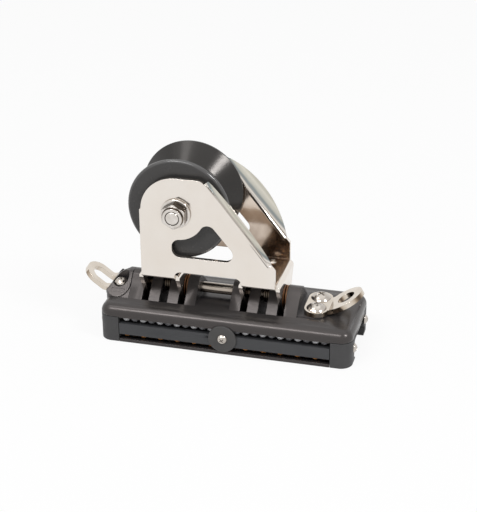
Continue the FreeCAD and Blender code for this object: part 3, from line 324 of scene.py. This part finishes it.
def joinParts(parts):
    # (points, quads) pairs become one pair
    points, faces, count = [], [], 0
    for some, quads in parts:
        points.append(some.reshape(-1, 3))
        faces.append(quads + count)
        count += len(points[-1])
    return np.concatenate(points), np.concatenate(faces)


def wear(mesh, *looks):
    # the mesh takes these finishes in place of its own
    mesh.materials.clear()
    for look in looks:
        mesh.materials.append(finishes[look])


def makePiece(name, parts, finish, body, standsFor=(), sharp=35, others=(), faceLooks=None):
    # where there are other finishes, faceLooks has a number for each face: 0 is the first finish
    points, faces = joinParts(parts)
    mesh = bpy.data.meshes.new(name)
    mesh.from_pydata(points * mm, [], faces)
    wear(mesh, finish, *others)
    if others:
        mesh.polygons.foreach_set("material_index", faceLooks.astype(np.int32))
    work = bmesh.new()
    work.from_mesh(mesh)
    bmesh.ops.remove_doubles(work, verts=work.verts, dist=welding["pieceGap"])
    bmesh.ops.recalc_face_normals(work, faces=work.faces)
    work.to_mesh(mesh)
    work.free()
    return finishPiece(name, mesh, body, standsFor, sharp)


def finishPiece(name, mesh, body, standsFor, sharp):
    mesh.shade_smooth()
    mesh.set_sharp_from_angle(angle=math.radians(sharp))
    piece = bpy.data.objects.new(name, mesh)
    bpy.context.scene.collection.objects.link(piece)
    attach(piece, body)
    if standsFor:
        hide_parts(*standsFor)
    return piece


def readField(items, field):
    # a vector field of vertices or faces as rows of three
    values = np.empty(len(items) * 3)
    items.foreach_get(field, values)
    return values.reshape(-1, 3)


def writeTone(mesh, name, tone):
    # one number for each face, under the name that a finish reads
    layer = mesh.attributes.new(name, "FLOAT", "FACE")
    layer.data.foreach_set("value", tone.astype(np.float32))


def partingLine(mesh, trims):
    # vertices in a slab between two places along an axis move by the trim, which opens a thin line
    points = readField(mesh.vertices, "co")
    for axis, low, high, trim in trims:
        inside = (points[:, axis] > low * mm) & (points[:, axis] < high * mm)
        points[inside, axis] += trim * mm
    mesh.vertices.foreach_set("co", points.ravel())


def paintRimReflection(mesh, tilt, bands, phase):
    # painted reflection: tone = (1 + sin(bands * angle + phase)) / 2 on faces square to the plate, 1 on its
    # flats, which bands the plate's edges light and dark
    normal = readField(mesh.polygons, "normal")
    lift = np.array([-math.sin(tilt), 0.0, abs(math.cos(tilt))])
    flat = np.maximum(np.abs(normal[:, 2]), np.abs(normal @ lift)) > facing["plate"]
    angle = np.arctan2(normal[:, 1], normal[:, 0] * math.cos(tilt) + normal[:, 2] * math.sin(tilt))
    writeTone(mesh, "paintedRimReflection", np.where(flat, 1.0, 0.5 + 0.5 * np.sin(bands * angle + phase)))


def paintInsideShade(mesh, inside):
    # marks the painted inside shade: inner = 1 on cheek faces that look at the middle plane, the floors'
    # share on floor tops, 0 elsewhere
    normal, centre = readField(mesh.polygons, "normal"), readField(mesh.polygons, "center")
    low, high = inside["low"] * mm, inside["high"] * mm
    inward = normal[:, 1] * centre[:, 1] < 0
    cheek = (np.abs(normal[:, 1]) > facing["sheet"]) & inward & (centre[:, 2] > low)
    floor = (normal[:, 2] > facing["sheet"]) & (centre[:, 2] > low) & (centre[:, 2] < high)
    writeTone(mesh, "inner", np.where(cheek, 1.0, floor * inside["floorShare"]))


def paintFacetReflection(mesh, axis, level=0.5, fall=0.7):
    # painted reflection: tone = level - fall * nz, kept from 0 to 1, on faces round the axis, 1 on the
    # others, so upward facets show dark and downward ones pale
    normal = readField(mesh.polygons, "normal")
    flank = np.abs(normal @ np.array(axis, float)) < facing["flank"]
    writeTone(mesh, "paintedRimReflection", np.where(flank, np.clip(level - fall * normal[:, 2], 0, 1), 1.0))


def dressNode(node, sharp=32, trims=(), rim=None, inside=None):
    # a merged copy of the node's own triangles, smooth except at its true edges
    mesh = nodes[node].data.copy()
    work = bmesh.new()
    work.from_mesh(mesh)
    bmesh.ops.remove_doubles(work, verts=work.verts, dist=welding["nodeGap"])
    bmesh.ops.dissolve_limit(work, angle_limit=math.radians(welding["flatDegrees"]), verts=work.verts,
                             edges=work.edges)
    work.to_mesh(mesh)
    work.free()
    wear(mesh, slotOf[node])
    partingLine(mesh, trims)
    if rim:
        paintRimReflection(mesh, *rim)
    if inside:
        paintInsideShade(mesh, inside)
    return finishPiece(node + ".dressed", mesh, bodyOf[node], (node,), sharp)


def squareTo(axis):
    # a unit vector at right angles to the axis
    side = np.cross(axis, [0.0, 0.0, 1.0] if abs(axis[2]) < 0.9 else [1.0, 0.0, 0.0])
    return side / np.linalg.norm(side)


def turned(profile, centre, axis, steps=96, loop=False):
    # (radius, along) pairs turned about a unit axis: centre + axis * along + radius * ray(angle)
    axis, profile = np.array(axis, float), np.array(profile, float)
    side = squareTo(axis)
    angle = np.linspace(0, 2 * np.pi, steps, endpoint=False)[:, None, None]
    ray = np.cos(angle) * side + np.sin(angle) * np.cross(axis, side)
    points = np.array(centre, float) + axis * profile[None, :, 1:2] + ray * profile[None, :, 0:1]
    return points, gridFaces(points.shape[0], points.shape[1], True, loop)


def capped(rings):
    # rings of points joined one to the next, with both ends closed to the middle of their ring
    ends = [np.repeat(rings[k].mean(0)[None, None], rings.shape[1], 1) for k in (0, -1)]
    rings = np.concatenate([ends[0], rings, ends[1]])
    return rings, gridFaces(rings.shape[0], rings.shape[1], False, True)


def softCorners(corners, radius, loop=True, steps=5, least=1e-6):
    # each corner becomes an arc tangent to both its sides; an open line keeps its two ends
    corners = np.array(corners, float)
    before, after = np.roll(corners, 1, 0), np.roll(corners, -1, 0)
    radius = np.broadcast_to(np.array(radius, float), len(corners))
    intoA = (before - corners) / np.linalg.norm(before - corners, axis=1)[:, None]
    intoB = (after - corners) / np.linalg.norm(after - corners, axis=1)[:, None]
    half = np.arccos(np.clip((intoA * intoB).sum(1), -1, 1)) / 2
    reach = radius / np.tan(half)
    middle = intoA + intoB
    middle /= np.linalg.norm(middle, axis=1)[:, None]
    hub = corners + middle * (radius / np.sin(half))[:, None]
    startRay = corners + intoA * reach[:, None] - hub
    endRay = corners + intoB * reach[:, None] - hub
    t = np.linspace(0, 1, steps)[None, :, None]
    sweep = np.arccos(np.clip((startRay * endRay).sum(1) / np.maximum(radius ** 2, least ** 2), -1, 1))
    sweep = np.maximum(sweep, least)[:, None, None]
    arcs = np.sin((1 - t) * sweep) * startRay[:, None] + np.sin(t * sweep) * endRay[:, None]
    arcs = hub[:, None] + arcs / np.sin(sweep)
    if not loop:
        arcs[0], arcs[-1] = corners[0], corners[-1]
    return arcs.reshape(-1, 2)


def washer(hole, radius, low, high, rounds, centre, axis, steps=96):
    # a ring with its four corners rounded, from low to high along its axis
    outline = softCorners([(hole, low), (radius, low), (radius, high), (hole, high)], rounds)
    return turned(outline, centre, axis, steps, True)


print("tools ready")


# slider, cage and other frame nodes that keep their own form; every piece is in millimetres
dressed = ["slider_body", "left_end_cover", "sheave_cage", "left_tow_loop", "right_tow_loop",
           "near_race_bar", "far_race_bar", "near_left_return_cap", "near_right_return_cap",
           "far_left_return_cap", "far_right_return_cap"]
# where the cage's painted inside shade and reflection go, with heights in millimetres
insideShadeMarks = {"sheave_cage": {"low": 50, "high": 56, "floorShare": 0.5}}
# trims as (axis, from, to, shift), and rims, for the painted rim reflection, as (tilt, bands, phase)
capTop, capLeft, capRight = (2, 20.2, 21, -0.3), (0, -79.9, -79, -0.25), (0, 79, 79.9, 0.25)
trims = {"left_end_cover": [(0, -77.4, -76.0, -0.35)],
         "near_left_return_cap": [capTop, capLeft], "far_left_return_cap": [capTop, capLeft],
         "near_right_return_cap": [capTop, capRight], "far_right_return_cap": [capTop, capRight],
         "left_tow_loop": [(1, 15.2, 17, -0.8), (1, -17, -15.2, 0.8)]}
rims = {"left_tow_loop": (math.radians(180 - 36.5), 2, -1.2), "right_tow_loop": (math.radians(32), 5, 1.2)}
for node in dressed:
    dressNode(node, trims=trims.get(node, ()), rim=rims.get(node), inside=insideShadeMarks.get(node))
print("frame nodes dressed:", len(dressed))


# nose: ridge corners beside the left cover, the saddle under it and a plate on each of its flanks
noseForm = {"ridgeEnd": -76.8, "halfWidth": 19.3, "shoulder": 28.5, "slope": math.radians(44.8),
            "round": 10.0, "gap": 0.45, "margin": 0.02, "sunk": 1.0, "tip": -97.0, "bodyEnd": -94.98,
            "saddleFrom": 20.0, "saddleTo": 28.45, "inner": -84.0, "patchX": (-91.0, -81.0),
            "patchY": (14.4, 16.6), "patchLift": (-0.4, 0.05), "cornerSteps": 15, "saddleSteps": 12}


def slopeTop(n, y):
    # height of the ridge's flank: shoulder + (halfWidth - y) * tan(slope)
    return n["shoulder"] + (n["halfWidth"] - y) * math.tan(n["slope"])


def ridgeCorner(n, side):
    # between the cover's round corner, radius round + gap, and the square one, radius round / cos(angle)
    angle = np.linspace(n["margin"], np.pi / 2 - n["margin"], n["cornerSteps"])
    outer = n["round"] * np.minimum(1 / np.cos(angle), 1 / np.sin(angle))
    inner = np.minimum(n["round"] + n["gap"], outer - n["margin"])
    x0, y0 = n["ridgeEnd"] - n["round"], n["halfWidth"] - n["round"]

    def ring(radius, top):
        x, y = x0 + radius * np.cos(angle), y0 + radius * np.sin(angle)
        z = slopeTop(n, y) if top else np.full_like(x, n["shoulder"] - n["sunk"])
        return np.stack([x, side * y, z], 1)
    return capped(np.stack([ring(inner, True), ring(outer, True), ring(outer, False), ring(inner, False)], 1))


def noseSaddle(n):
    # the cover's own plan, a rounded rectangle, carried down to the body's rounded end
    centre = n["tip"] + n["round"]
    stop = math.acos((n["bodyEnd"] - centre) / n["round"])
    angle = np.linspace(np.pi / 2, stop, n["saddleSteps"])
    arc = np.stack([centre + n["round"] * np.cos(angle),
                    n["halfWidth"] - n["round"] + n["round"] * np.sin(angle)], 1)
    half = np.concatenate([[[n["inner"], n["halfWidth"]]], arc])
    plan = np.concatenate([half, half[::-1] * [1, -1]])
    heights = (n["saddleFrom"], n["saddleTo"])
    return capped(np.stack([np.column_stack([plan, np.full(len(plan), height)]) for height in heights]))


def flankPatch(n, side):
    # a thin plate along the cover's flank, from just under it to a hair proud of it
    (x0, x1), (y0, y1) = n["patchX"], n["patchY"]
    x, y = np.array([x0, x1, x1, x0]), np.array([y0, y0, y1, y1])
    return capped(np.stack([np.stack([x, side * y, slopeTop(n, y) + lift], 1) for lift in n["patchLift"]]))


makePiece("ridgeCorners", [ridgeCorner(noseForm, 1), ridgeCorner(noseForm, -1), noseSaddle(noseForm),
                           flankPatch(noseForm, 1), flankPatch(noseForm, -1)],
          "dark_alloy", "slider")
print("nose filled")


# sheave: a turned wheel with straight flanks down to a small round root
sheave = {"centre": (-35.5, 0, 105.6), "radius": 38.0, "half": 20.3, "rimFlat": 2.5, "depth": 12.0,
          "apex": 14.0, "faceRadii": (14.0, 22.0, 34.0), "rimRound": 1.7, "steps": 192, "rootSteps": 24,
          "rimSteps": 6, "rimCorner": 0.01}


def buildSheave(s):
    # groove: a corner of depth apex between both rims, rounded until its lowest point is at depth
    span, rim, half, r = s["half"] - s["rimFlat"], s["radius"], s["half"], s["rimRound"]
    lean = math.atan2(span, s["apex"])
    root = (s["apex"] - s["depth"]) / (1 / math.sin(lean) - 1)
    groove = softCorners([(rim, -span), (rim - s["apex"], 0), (rim, span)],
                         [s["rimCorner"], root, s["rimCorner"]], False, s["rootSteps"])
    groove = groove[s["rootSteps"] - 1:2 * s["rootSteps"] + 1]
    turn = np.linspace(0, np.pi / 2, s["rimSteps"])
    left = np.stack([rim - r + r * np.sin(turn), -half + r - r * np.cos(turn)], 1)
    right = np.stack([rim - r + r * np.cos(turn), half - r + r * np.sin(turn)], 1)
    face = [(radius, -half) for radius in s["faceRadii"]]
    other = [(radius, half) for radius in reversed(s["faceRadii"])]
    profile = np.concatenate([face, left, groove, right, other])
    wheel = turned(profile, s["centre"], (0, 1, 0), s["steps"], True)
    # finishes in turn along the profile: face, crest, groove, far rim's strip, crest, face
    runs = [len(face), len(left), len(groove) - 1, 1, len(right), len(other)]
    looks = np.tile(np.repeat([0, 2, 1, 0, 2, 0], runs), s["steps"])
    makePiece("sheaveWheel", [wheel], "sheave_alloy", "sheave", ("sheave",), 30,
              ("sheave_groove", "sheave_crest"), looks)


buildSheave(sheave)
print("sheave made")


# axle: bolt, locking nut and washers; collar and boltTip are profiles of (radius, along) pairs
axle = {"centre": (-35.5, 0, 105.6), "cheekFace": 26.0, "washerHole": 5.1, "washerRadius": 11.0,
        "washerThick": 2.0, "washerRounds": (0.05, 0.2, 0.45, 0.1), "flats": 17.0, "nutHeight": 6.0,
        "headHeight": 6.4, "boltRadius": 5.0, "boltOut": 2.6, "boltEnd": 0.01, "boltSteps": 64,
        "collar": [(8.16, -0.3), (8.075, 0), (7.85, 0.5), (7.5, 1.2), (7.25, 1.7), (6.6, 2.0), (5.35, 2.0),
                   (5.05, 1.6), (5.05, -0.3)],
        "boltTip": [(4.0, 0), (4.25, -0.08), (4.75, -0.6), (5.0, -1.0)]}
hexForm = {"steps": 144, "cut": 0.985, "cutSlope": 1.9, "stations": (0, 0, 0.25, 0.6, 1.0)}


def hexBody(centre, axis, flats, height, lowCut, form):
    # radius = half the flats / cos(angle within a side), kept within a cone at the cut ends
    angle = np.linspace(0, 2 * np.pi, form["steps"], endpoint=False)
    within = np.mod(angle + np.pi / 6, np.pi / 3) - np.pi / 6
    hexRadius = (flats / 2) / np.cos(within)
    low = np.array(form["stations"])
    along = np.concatenate([low, height - low[::-1]])
    cone = flats / 2 * form["cut"] + np.minimum(along, height - along) * form["cutSlope"]
    if not lowCut:
        cone[along < height / 2] = np.inf
    radius = np.minimum(hexRadius[:, None], cone[None, :])
    radius[:, 0] = radius[:, -1] = 0
    axis = np.array(axis, float)
    up = np.array([0.0, 0.0, 1.0])
    ray = np.cos(angle)[:, None] * np.cross(up, axis) + np.sin(angle)[:, None] * up
    points = np.array(centre, float) + axis * along[None, :, None] + ray[:, None, :] * radius[:, :, None]
    return points, gridFaces(len(angle), len(along), True, False)


def buildAxle(a, form):
    x, _, z = a["centre"]
    near, far = (0, -1, 0), (0, 1, 0)
    for axis, name in ((near, "near"), (far, "far")):
        ring = washer(a["washerHole"], a["washerRadius"], 0, a["washerThick"], a["washerRounds"],
                      (x, axis[1] * a["cheekFace"], z), axis)
        makePiece(name + "Washer", [ring], "bright_steel", "cage", (name + "_axle_washer",))
    seat = -a["cheekFace"] - a["washerThick"]
    collar = [(radius, a["nutHeight"] + along) for radius, along in a["collar"]]
    nut = makePiece("lockingNut", [hexBody((x, seat, z), near, a["flats"], a["nutHeight"], True, form),
                                   turned(collar, (x, seat, z), near, loop=True)],
                    "nut_steel", "cage", ("axle_nut",), 30)
    paintFacetReflection(nut.data, near)
    end = a["nutHeight"] + a["boltOut"]
    shank = [(0, end)] + [(radius, end + along) for radius, along in a["boltTip"]]
    shank += [(a["boltRadius"], 2 * seat + a["boltEnd"]), (0, 2 * seat)]
    bolt = makePiece("axleBolt", [turned(shank, (x, seat, z), near, a["boltSteps"]),
                                  hexBody((x, -seat, z), far, a["flats"], a["headHeight"], False, form)],
                     "nut_steel", "cage", ("axle_bolt",), 30)
    paintFacetReflection(bolt.data, far)


buildAxle(axle, hexForm)
print("axle made")


# screws: a dome with a cross recess; each screw has its kind, its seat and its turn
up, left, right, near, far = (0, 0, 1), (-1, 0, 0), (1, 0, 0), (0, -1, 0), (0, 1, 0)
screwForm = {"dome": 0.62, "rise": 0.0, "rings": 44, "rimRings": 12, "rimFrom": (0.72, 0.74), "steps": 96,
             "arm": 0.42, "blade": 0.085, "edge": 0.05, "deep": 0.3}
screwKinds = {
    "rightTow": {"axis": up, "head": 7.4, "dome": 0.5},
    "leftTow": {"axis": up, "head": 5.2, "dome": 0.7, "rise": 2.6},
    "nearDisc": {"axis": near, "head": 3.8},
    "farDisc": {"axis": far, "head": 3.8},
    "leftCap": {"axis": left, "head": 3.6},
    "rightCap": {"axis": right, "head": 3.6},
    "anchor": {"axis": up, "head": 3.3, "dome": 0.4},
}
screws = {
    "right_near_tow_screw": ("rightTow", (64.05, -8.3, 32.9), 0.3),
    "right_far_tow_screw": ("rightTow", (64.05, 8.3, 32.9), 0.9),
    "left_near_tow_screw": ("leftTow", (-86, -7, 32.1), 0.5),
    "left_far_tow_screw": ("leftTow", (-86, 7, 32.1), 1.1),
    "near_disc_screw": ("nearDisc", (0, -36.5, 13), 0.7),
    "far_disc_screw": ("farDisc", (0, 36.5, 13), 0.2),
    "near_left_cap_screw": ("leftCap", (-95, -22, 11.3), 0.1),
    "near_right_cap_screw": ("rightCap", (95, -22, 11.3), 0.6),
    "far_left_cap_screw": ("leftCap", (-95, 22, 11.3), 0.9),
    "far_right_cap_screw": ("rightCap", (95, 22, 11.3), 0.4),
    "left_near_anchor_screw": ("anchor", (-49.9, -16, 54), 0.2),
    "left_far_anchor_screw": ("anchor", (-49.9, 16, 54), 0.8),
    "right_near_anchor_screw": ("anchor", (25.3, -16, 54), 0.5),
    "right_far_anchor_screw": ("anchor", (25.3, 16, 54), 0.0),
}


def screwHead(form, seat, turn):
    # height = rise + dome(r) - deep * cross(x, y); the cross is two crossing bars with soft sides
    head, high = form["head"], form["head"] * form["dome"]
    curve = (head ** 2 + high ** 2) / (2 * high)
    inner, outer = form["rimFrom"]
    r = np.concatenate([np.linspace(0, inner, form["rings"]), np.linspace(outer, 1, form["rimRings"])])
    r = r[None, :] * head
    angle = np.linspace(0, 2 * np.pi, form["steps"], endpoint=False)[:, None]
    x, y = r * np.cos(angle), r * np.sin(angle)
    dome = high - curve + np.sqrt(np.maximum(curve ** 2 - r ** 2, 0))

    def bar(along, across):
        inside = np.minimum(form["arm"] * head - np.abs(along), form["blade"] * head - np.abs(across))
        return np.clip(inside / (form["edge"] * head) + 0.5, 0, 1)
    cross = np.maximum(bar(x, y), bar(y, x))
    dome = dome - cross * form["deep"] * high + form["rise"]
    axis, seat = np.array(form["axis"], float), np.array(seat, float)
    side = squareTo(axis)
    other = np.cross(axis, side)
    c, n = math.cos(turn), math.sin(turn)
    first, second = c * side + n * other, -n * side + c * other
    points = seat + x[..., None] * first + y[..., None] * second + dome[..., None] * axis
    points = np.concatenate([points, np.broadcast_to(seat, (len(points), 1, 3))], 1)
    return points, gridFaces(points.shape[0], points.shape[1], True, False)


for node, (kind, seat, turn) in screws.items():
    head = screwHead({**screwForm, **screwKinds[kind]}, seat, turn)
    makePiece(node + ".head", [head], "screw_steel", bodyOf[node], (node,), 50)
print("screws made:", len(screws))


# race balls
balls = {"radius": 3.175, "pitch": 6.5, "perSide": 12, "row": 29.5, "around": 14, "down": 9,
         "levels": {"upper": 18.425, "lower": 5.725},
         "looks": {"upper": ("pale_balls", "dim_balls"), "lower": ("amber_balls", "brown_balls")}}


def ballRow(b, centres):
    # each ball = centre + radius * (sin v cos u, sin v sin u, cos v)
    u = np.linspace(0, 2 * np.pi, b["around"], endpoint=False)[:, None]
    v = np.linspace(0, np.pi, b["down"])[None, :]
    unit = np.stack([np.sin(v) * np.cos(u), np.sin(v) * np.sin(u), np.cos(v) * np.ones_like(u)], -1)
    quads = gridFaces(b["around"], b["down"], True, False)
    return joinParts([(centre + b["radius"] * unit, quads) for centre in centres])


for side, sign in (("near", -1), ("far", 1)):
    for level, height in balls["levels"].items():
        place = (np.arange(-balls["perSide"], balls["perSide"]) + 0.5) * balls["pitch"]
        centres = np.stack([place, np.full_like(place, sign * balls["row"]), np.full_like(place, height)], 1)
        look, other = balls["looks"][level]
        node = f"{side}_{level}_balls"
        row = ballRow(balls, centres)
        # every second ball has the other finish
        second = np.repeat(np.arange(len(centres)) % 2, len(row[1]) // len(centres))
        makePiece(node + ".round", [row], look, "slider", (node,), 80, (other,), second)
print("balls made")


# hinge pin, thrust washers and springs
hinge = {"pinRadius": 4.0, "pinHeight": 35.0, "pinFrom": -76.3, "pinTo": 46.9, "chamfer": 0.5, "bareEnd": 2.0,
         "pinSteps": 64, "pinRows": 24, "washerOuter": 8.6, "washerInner": 4.1, "washerInset": 0.4,
         "washerRounds": (0.1, 0.2, 0.2, 0.1),
         "washers": {"inner_thrust_washer": (-35.2, -33.6), "outer_thrust_washer": (40.0, 41.6)}}
springs = {"left_spring": {"from": -53.05, "to": -46.75, "hand": 1},
           "right_spring": {"from": 22.15, "to": 28.45, "hand": -1}}
springForm = {"wire": 0.75, "coil": 5.15, "turns": 3.0, "steps": 120, "inset": 0.85, "height": 35.0}


def buildHinge(h):
    r, length, cut = h["pinRadius"], h["pinTo"] - h["pinFrom"], h["chamfer"]
    rod = [(0, 0), (r - cut, 0), (r, cut)]
    rod += [(r, along) for along in np.linspace(h["bareEnd"], length - h["bareEnd"], h["pinRows"])]
    rod += [(r, length - cut), (r - cut, length), (0, length)]
    makePiece("hingePin", [turned(rod, (h["pinFrom"], 0, h["pinHeight"]), (1, 0, 0), h["pinSteps"])],
              "pin_steel", "slider", ("hinge_pin",))
    for node, (low, high) in h["washers"].items():
        ring = washer(h["washerInner"], h["washerOuter"], h["washerInset"], high - low - h["washerInset"],
                      h["washerRounds"], (low, 0, h["pinHeight"]), (1, 0, 0))
        makePiece(node + ".ring", [ring], "amber_plastic", "slider", (node,))


def tube(path, radius, sides=12):
    # a round section carried along a path, square to its run, started from a guide that no run follows
    run = np.gradient(path, axis=0)
    run /= np.linalg.norm(run, axis=1)[:, None]
    guide = np.array([1.0, 0.02, 0.03])
    first = np.cross(run, guide)
    first /= np.linalg.norm(first, axis=1)[:, None]
    second = np.cross(run, first)
    angle = np.linspace(0, 2 * np.pi, sides, endpoint=False)[None, :, None]
    return capped(path[:, None] + radius * (np.cos(angle) * first[:, None] + np.sin(angle) * second[:, None]))


def springPath(s, form):
    # (x, coil * cos(angle), coil * sin(angle)) about the hinge pin, x running evenly from end to end
    t = np.linspace(0, 1, form["steps"])
    angle = s["hand"] * 2 * np.pi * form["turns"] * t + np.pi / 2
    x = s["from"] + form["inset"] + (s["to"] - s["from"] - 2 * form["inset"]) * t
    return np.stack([x, form["coil"] * np.cos(angle), form["coil"] * np.sin(angle) + form["height"]], 1)


buildHinge(hinge)
for node, s in springs.items():
    makePiece(node + ".wire", [tube(springPath(s, springForm), springForm["wire"])],
              "spring_steel", "slider", (node,), 60)
print("hinge made")


# clamp discs and inner rings
discs = {"radius": 10.5, "thick": 1.5, "height": 13.0, "face": 35.0, "hole": 1.6,
         "rounds": (0.05, 0.05, 0.5, 0.2), "steps": 128}
for side, sign in (("near", -1), ("far", 1)):
    disc = washer(discs["hole"], discs["radius"], 0, discs["thick"], discs["rounds"],
                  (0, sign * discs["face"], discs["height"]), (0, sign, 0), discs["steps"])
    makePiece(side + "ClampDisc", [disc], "disc_plastic", "slider", (side + "_clamp_disc",))
for node in ("distance_sleeve", "sheave_bearing", "near_side_ring", "far_side_ring"):
    wear(nodes[node].data, slotOf[node])
print("discs made")


# floor, world and lamps, in metres and watts
studio = {"floorSize": 6.0, "floorHeight": -0.0005, "floorColour": (0.86, 0.86, 0.86), "floorRough": 0.9,
          "floorWhite": 0.9, "worldLight": 0.32, "white": (1, 1, 1, 1), "aim": (0, 0, 0.06)}
lamps = {
    "keyBox": {"at": (-1.2, -1.0, 2.0), "long": (1, 0, 0), "size": (1.8, 1.8), "power": 6.0},
    "topBox": {"at": (0.1, 0.3, 2.4), "long": (1, 0, 0), "size": (2.0, 2.0), "power": 5.0},
    "grooveBox": {"at": (1.39, -0.50, 1.44), "long": (0, 1, 0), "size": (0.40, 0.42), "power": 16.0},
    "rimBox": {"at": (-0.95, -0.33, 2.2), "long": (0, 1, 0), "size": (0.5, 0.60), "power": 3.0},
    "frontStrip": {"at": (-0.36, -1.0, 1.37), "long": (1, 0, 0), "size": (0.9, 0.26), "power": 10.0},
}


def seenDirectly(tree):
    # 1 for rays from the camera and those that a mirror or glass turns, 0 for light falling on things
    path = addNode(tree, "ShaderNodeLightPath")
    seen = maths(tree, "MAXIMUM", path.outputs["Is Camera Ray"], path.outputs["Is Glossy Ray"])
    return maths(tree, "MAXIMUM", seen, path.outputs["Is Transmission Ray"])


def mixShaders(tree, amount, first, second, target):
    mix = addNode(tree, "ShaderNodeMixShader", {"Fac": amount, 1: first, 2: second})
    wire(tree, mix.outputs["Shader"], tree.nodes[target].inputs["Surface"])


def buildFloor(s):
    # plain paper that takes the shadow, brightened where it is seen
    half = s["floorSize"] / 2
    corners = np.array([[-half, -half], [half, -half], [half, half], [-half, half]])
    mesh = bpy.data.meshes.new("floor")
    mesh.from_pydata(np.column_stack([corners, np.full(4, s["floorHeight"])]), [], [(0, 1, 2, 3)])
    floor = bpy.data.objects.new("floor", mesh)
    bpy.context.scene.collection.objects.link(floor)
    paper = bpy.data.materials.new("paperFloor")
    paper.use_nodes = True
    tree = paper.node_tree
    shader = tree.nodes["Principled BSDF"]
    shader.inputs["Base Color"].default_value = (*s["floorColour"], 1)
    shader.inputs["Roughness"].default_value = s["floorRough"]
    glow = addNode(tree, "ShaderNodeEmission", {"Strength": 1.0})
    share = maths(tree, "MULTIPLY", seenDirectly(tree), s["floorWhite"])
    mixShaders(tree, share, shader.outputs["BSDF"], glow.outputs["Emission"], "Material Output")
    mesh.materials.append(paper)


def buildWorld(s):
    world = bpy.data.worlds.new("studioWorld")
    bpy.context.scene.world = world
    world.use_nodes = True
    tree = world.node_tree
    ground = tree.nodes["Background"]
    ground.inputs["Color"].default_value = s["white"]
    ground.inputs["Strength"].default_value = s["worldLight"]
    bright = addNode(tree, "ShaderNodeBackground", {"Color": s["white"], "Strength": 1.0})
    mixShaders(tree, seenDirectly(tree), ground.outputs["Background"], bright.outputs["Background"],
               "World Output")


def placeLamp(name, lamp, aim):
    # the lamp looks at the aim, with its long side near the given way
    light = bpy.data.lights.new(name, "AREA")
    light.shape = "RECTANGLE"
    light.size, light.size_y = lamp["size"]
    light.energy = lamp["power"]
    box = bpy.data.objects.new(name, light)
    out = (Vector(lamp["at"]) - Vector(aim)).normalized()
    across = Vector(lamp["long"])
    across = (across - out * across.dot(out)).normalized()
    turn = Matrix((across, out.cross(across), out)).transposed().to_4x4()
    box.matrix_world = Matrix.Translation(lamp["at"]) @ turn
    bpy.context.scene.collection.objects.link(box)


buildFloor(studio)
buildWorld(studio)
for name, lamp in lamps.items():
    placeLamp(name, lamp, studio["aim"])
print("studio lit")
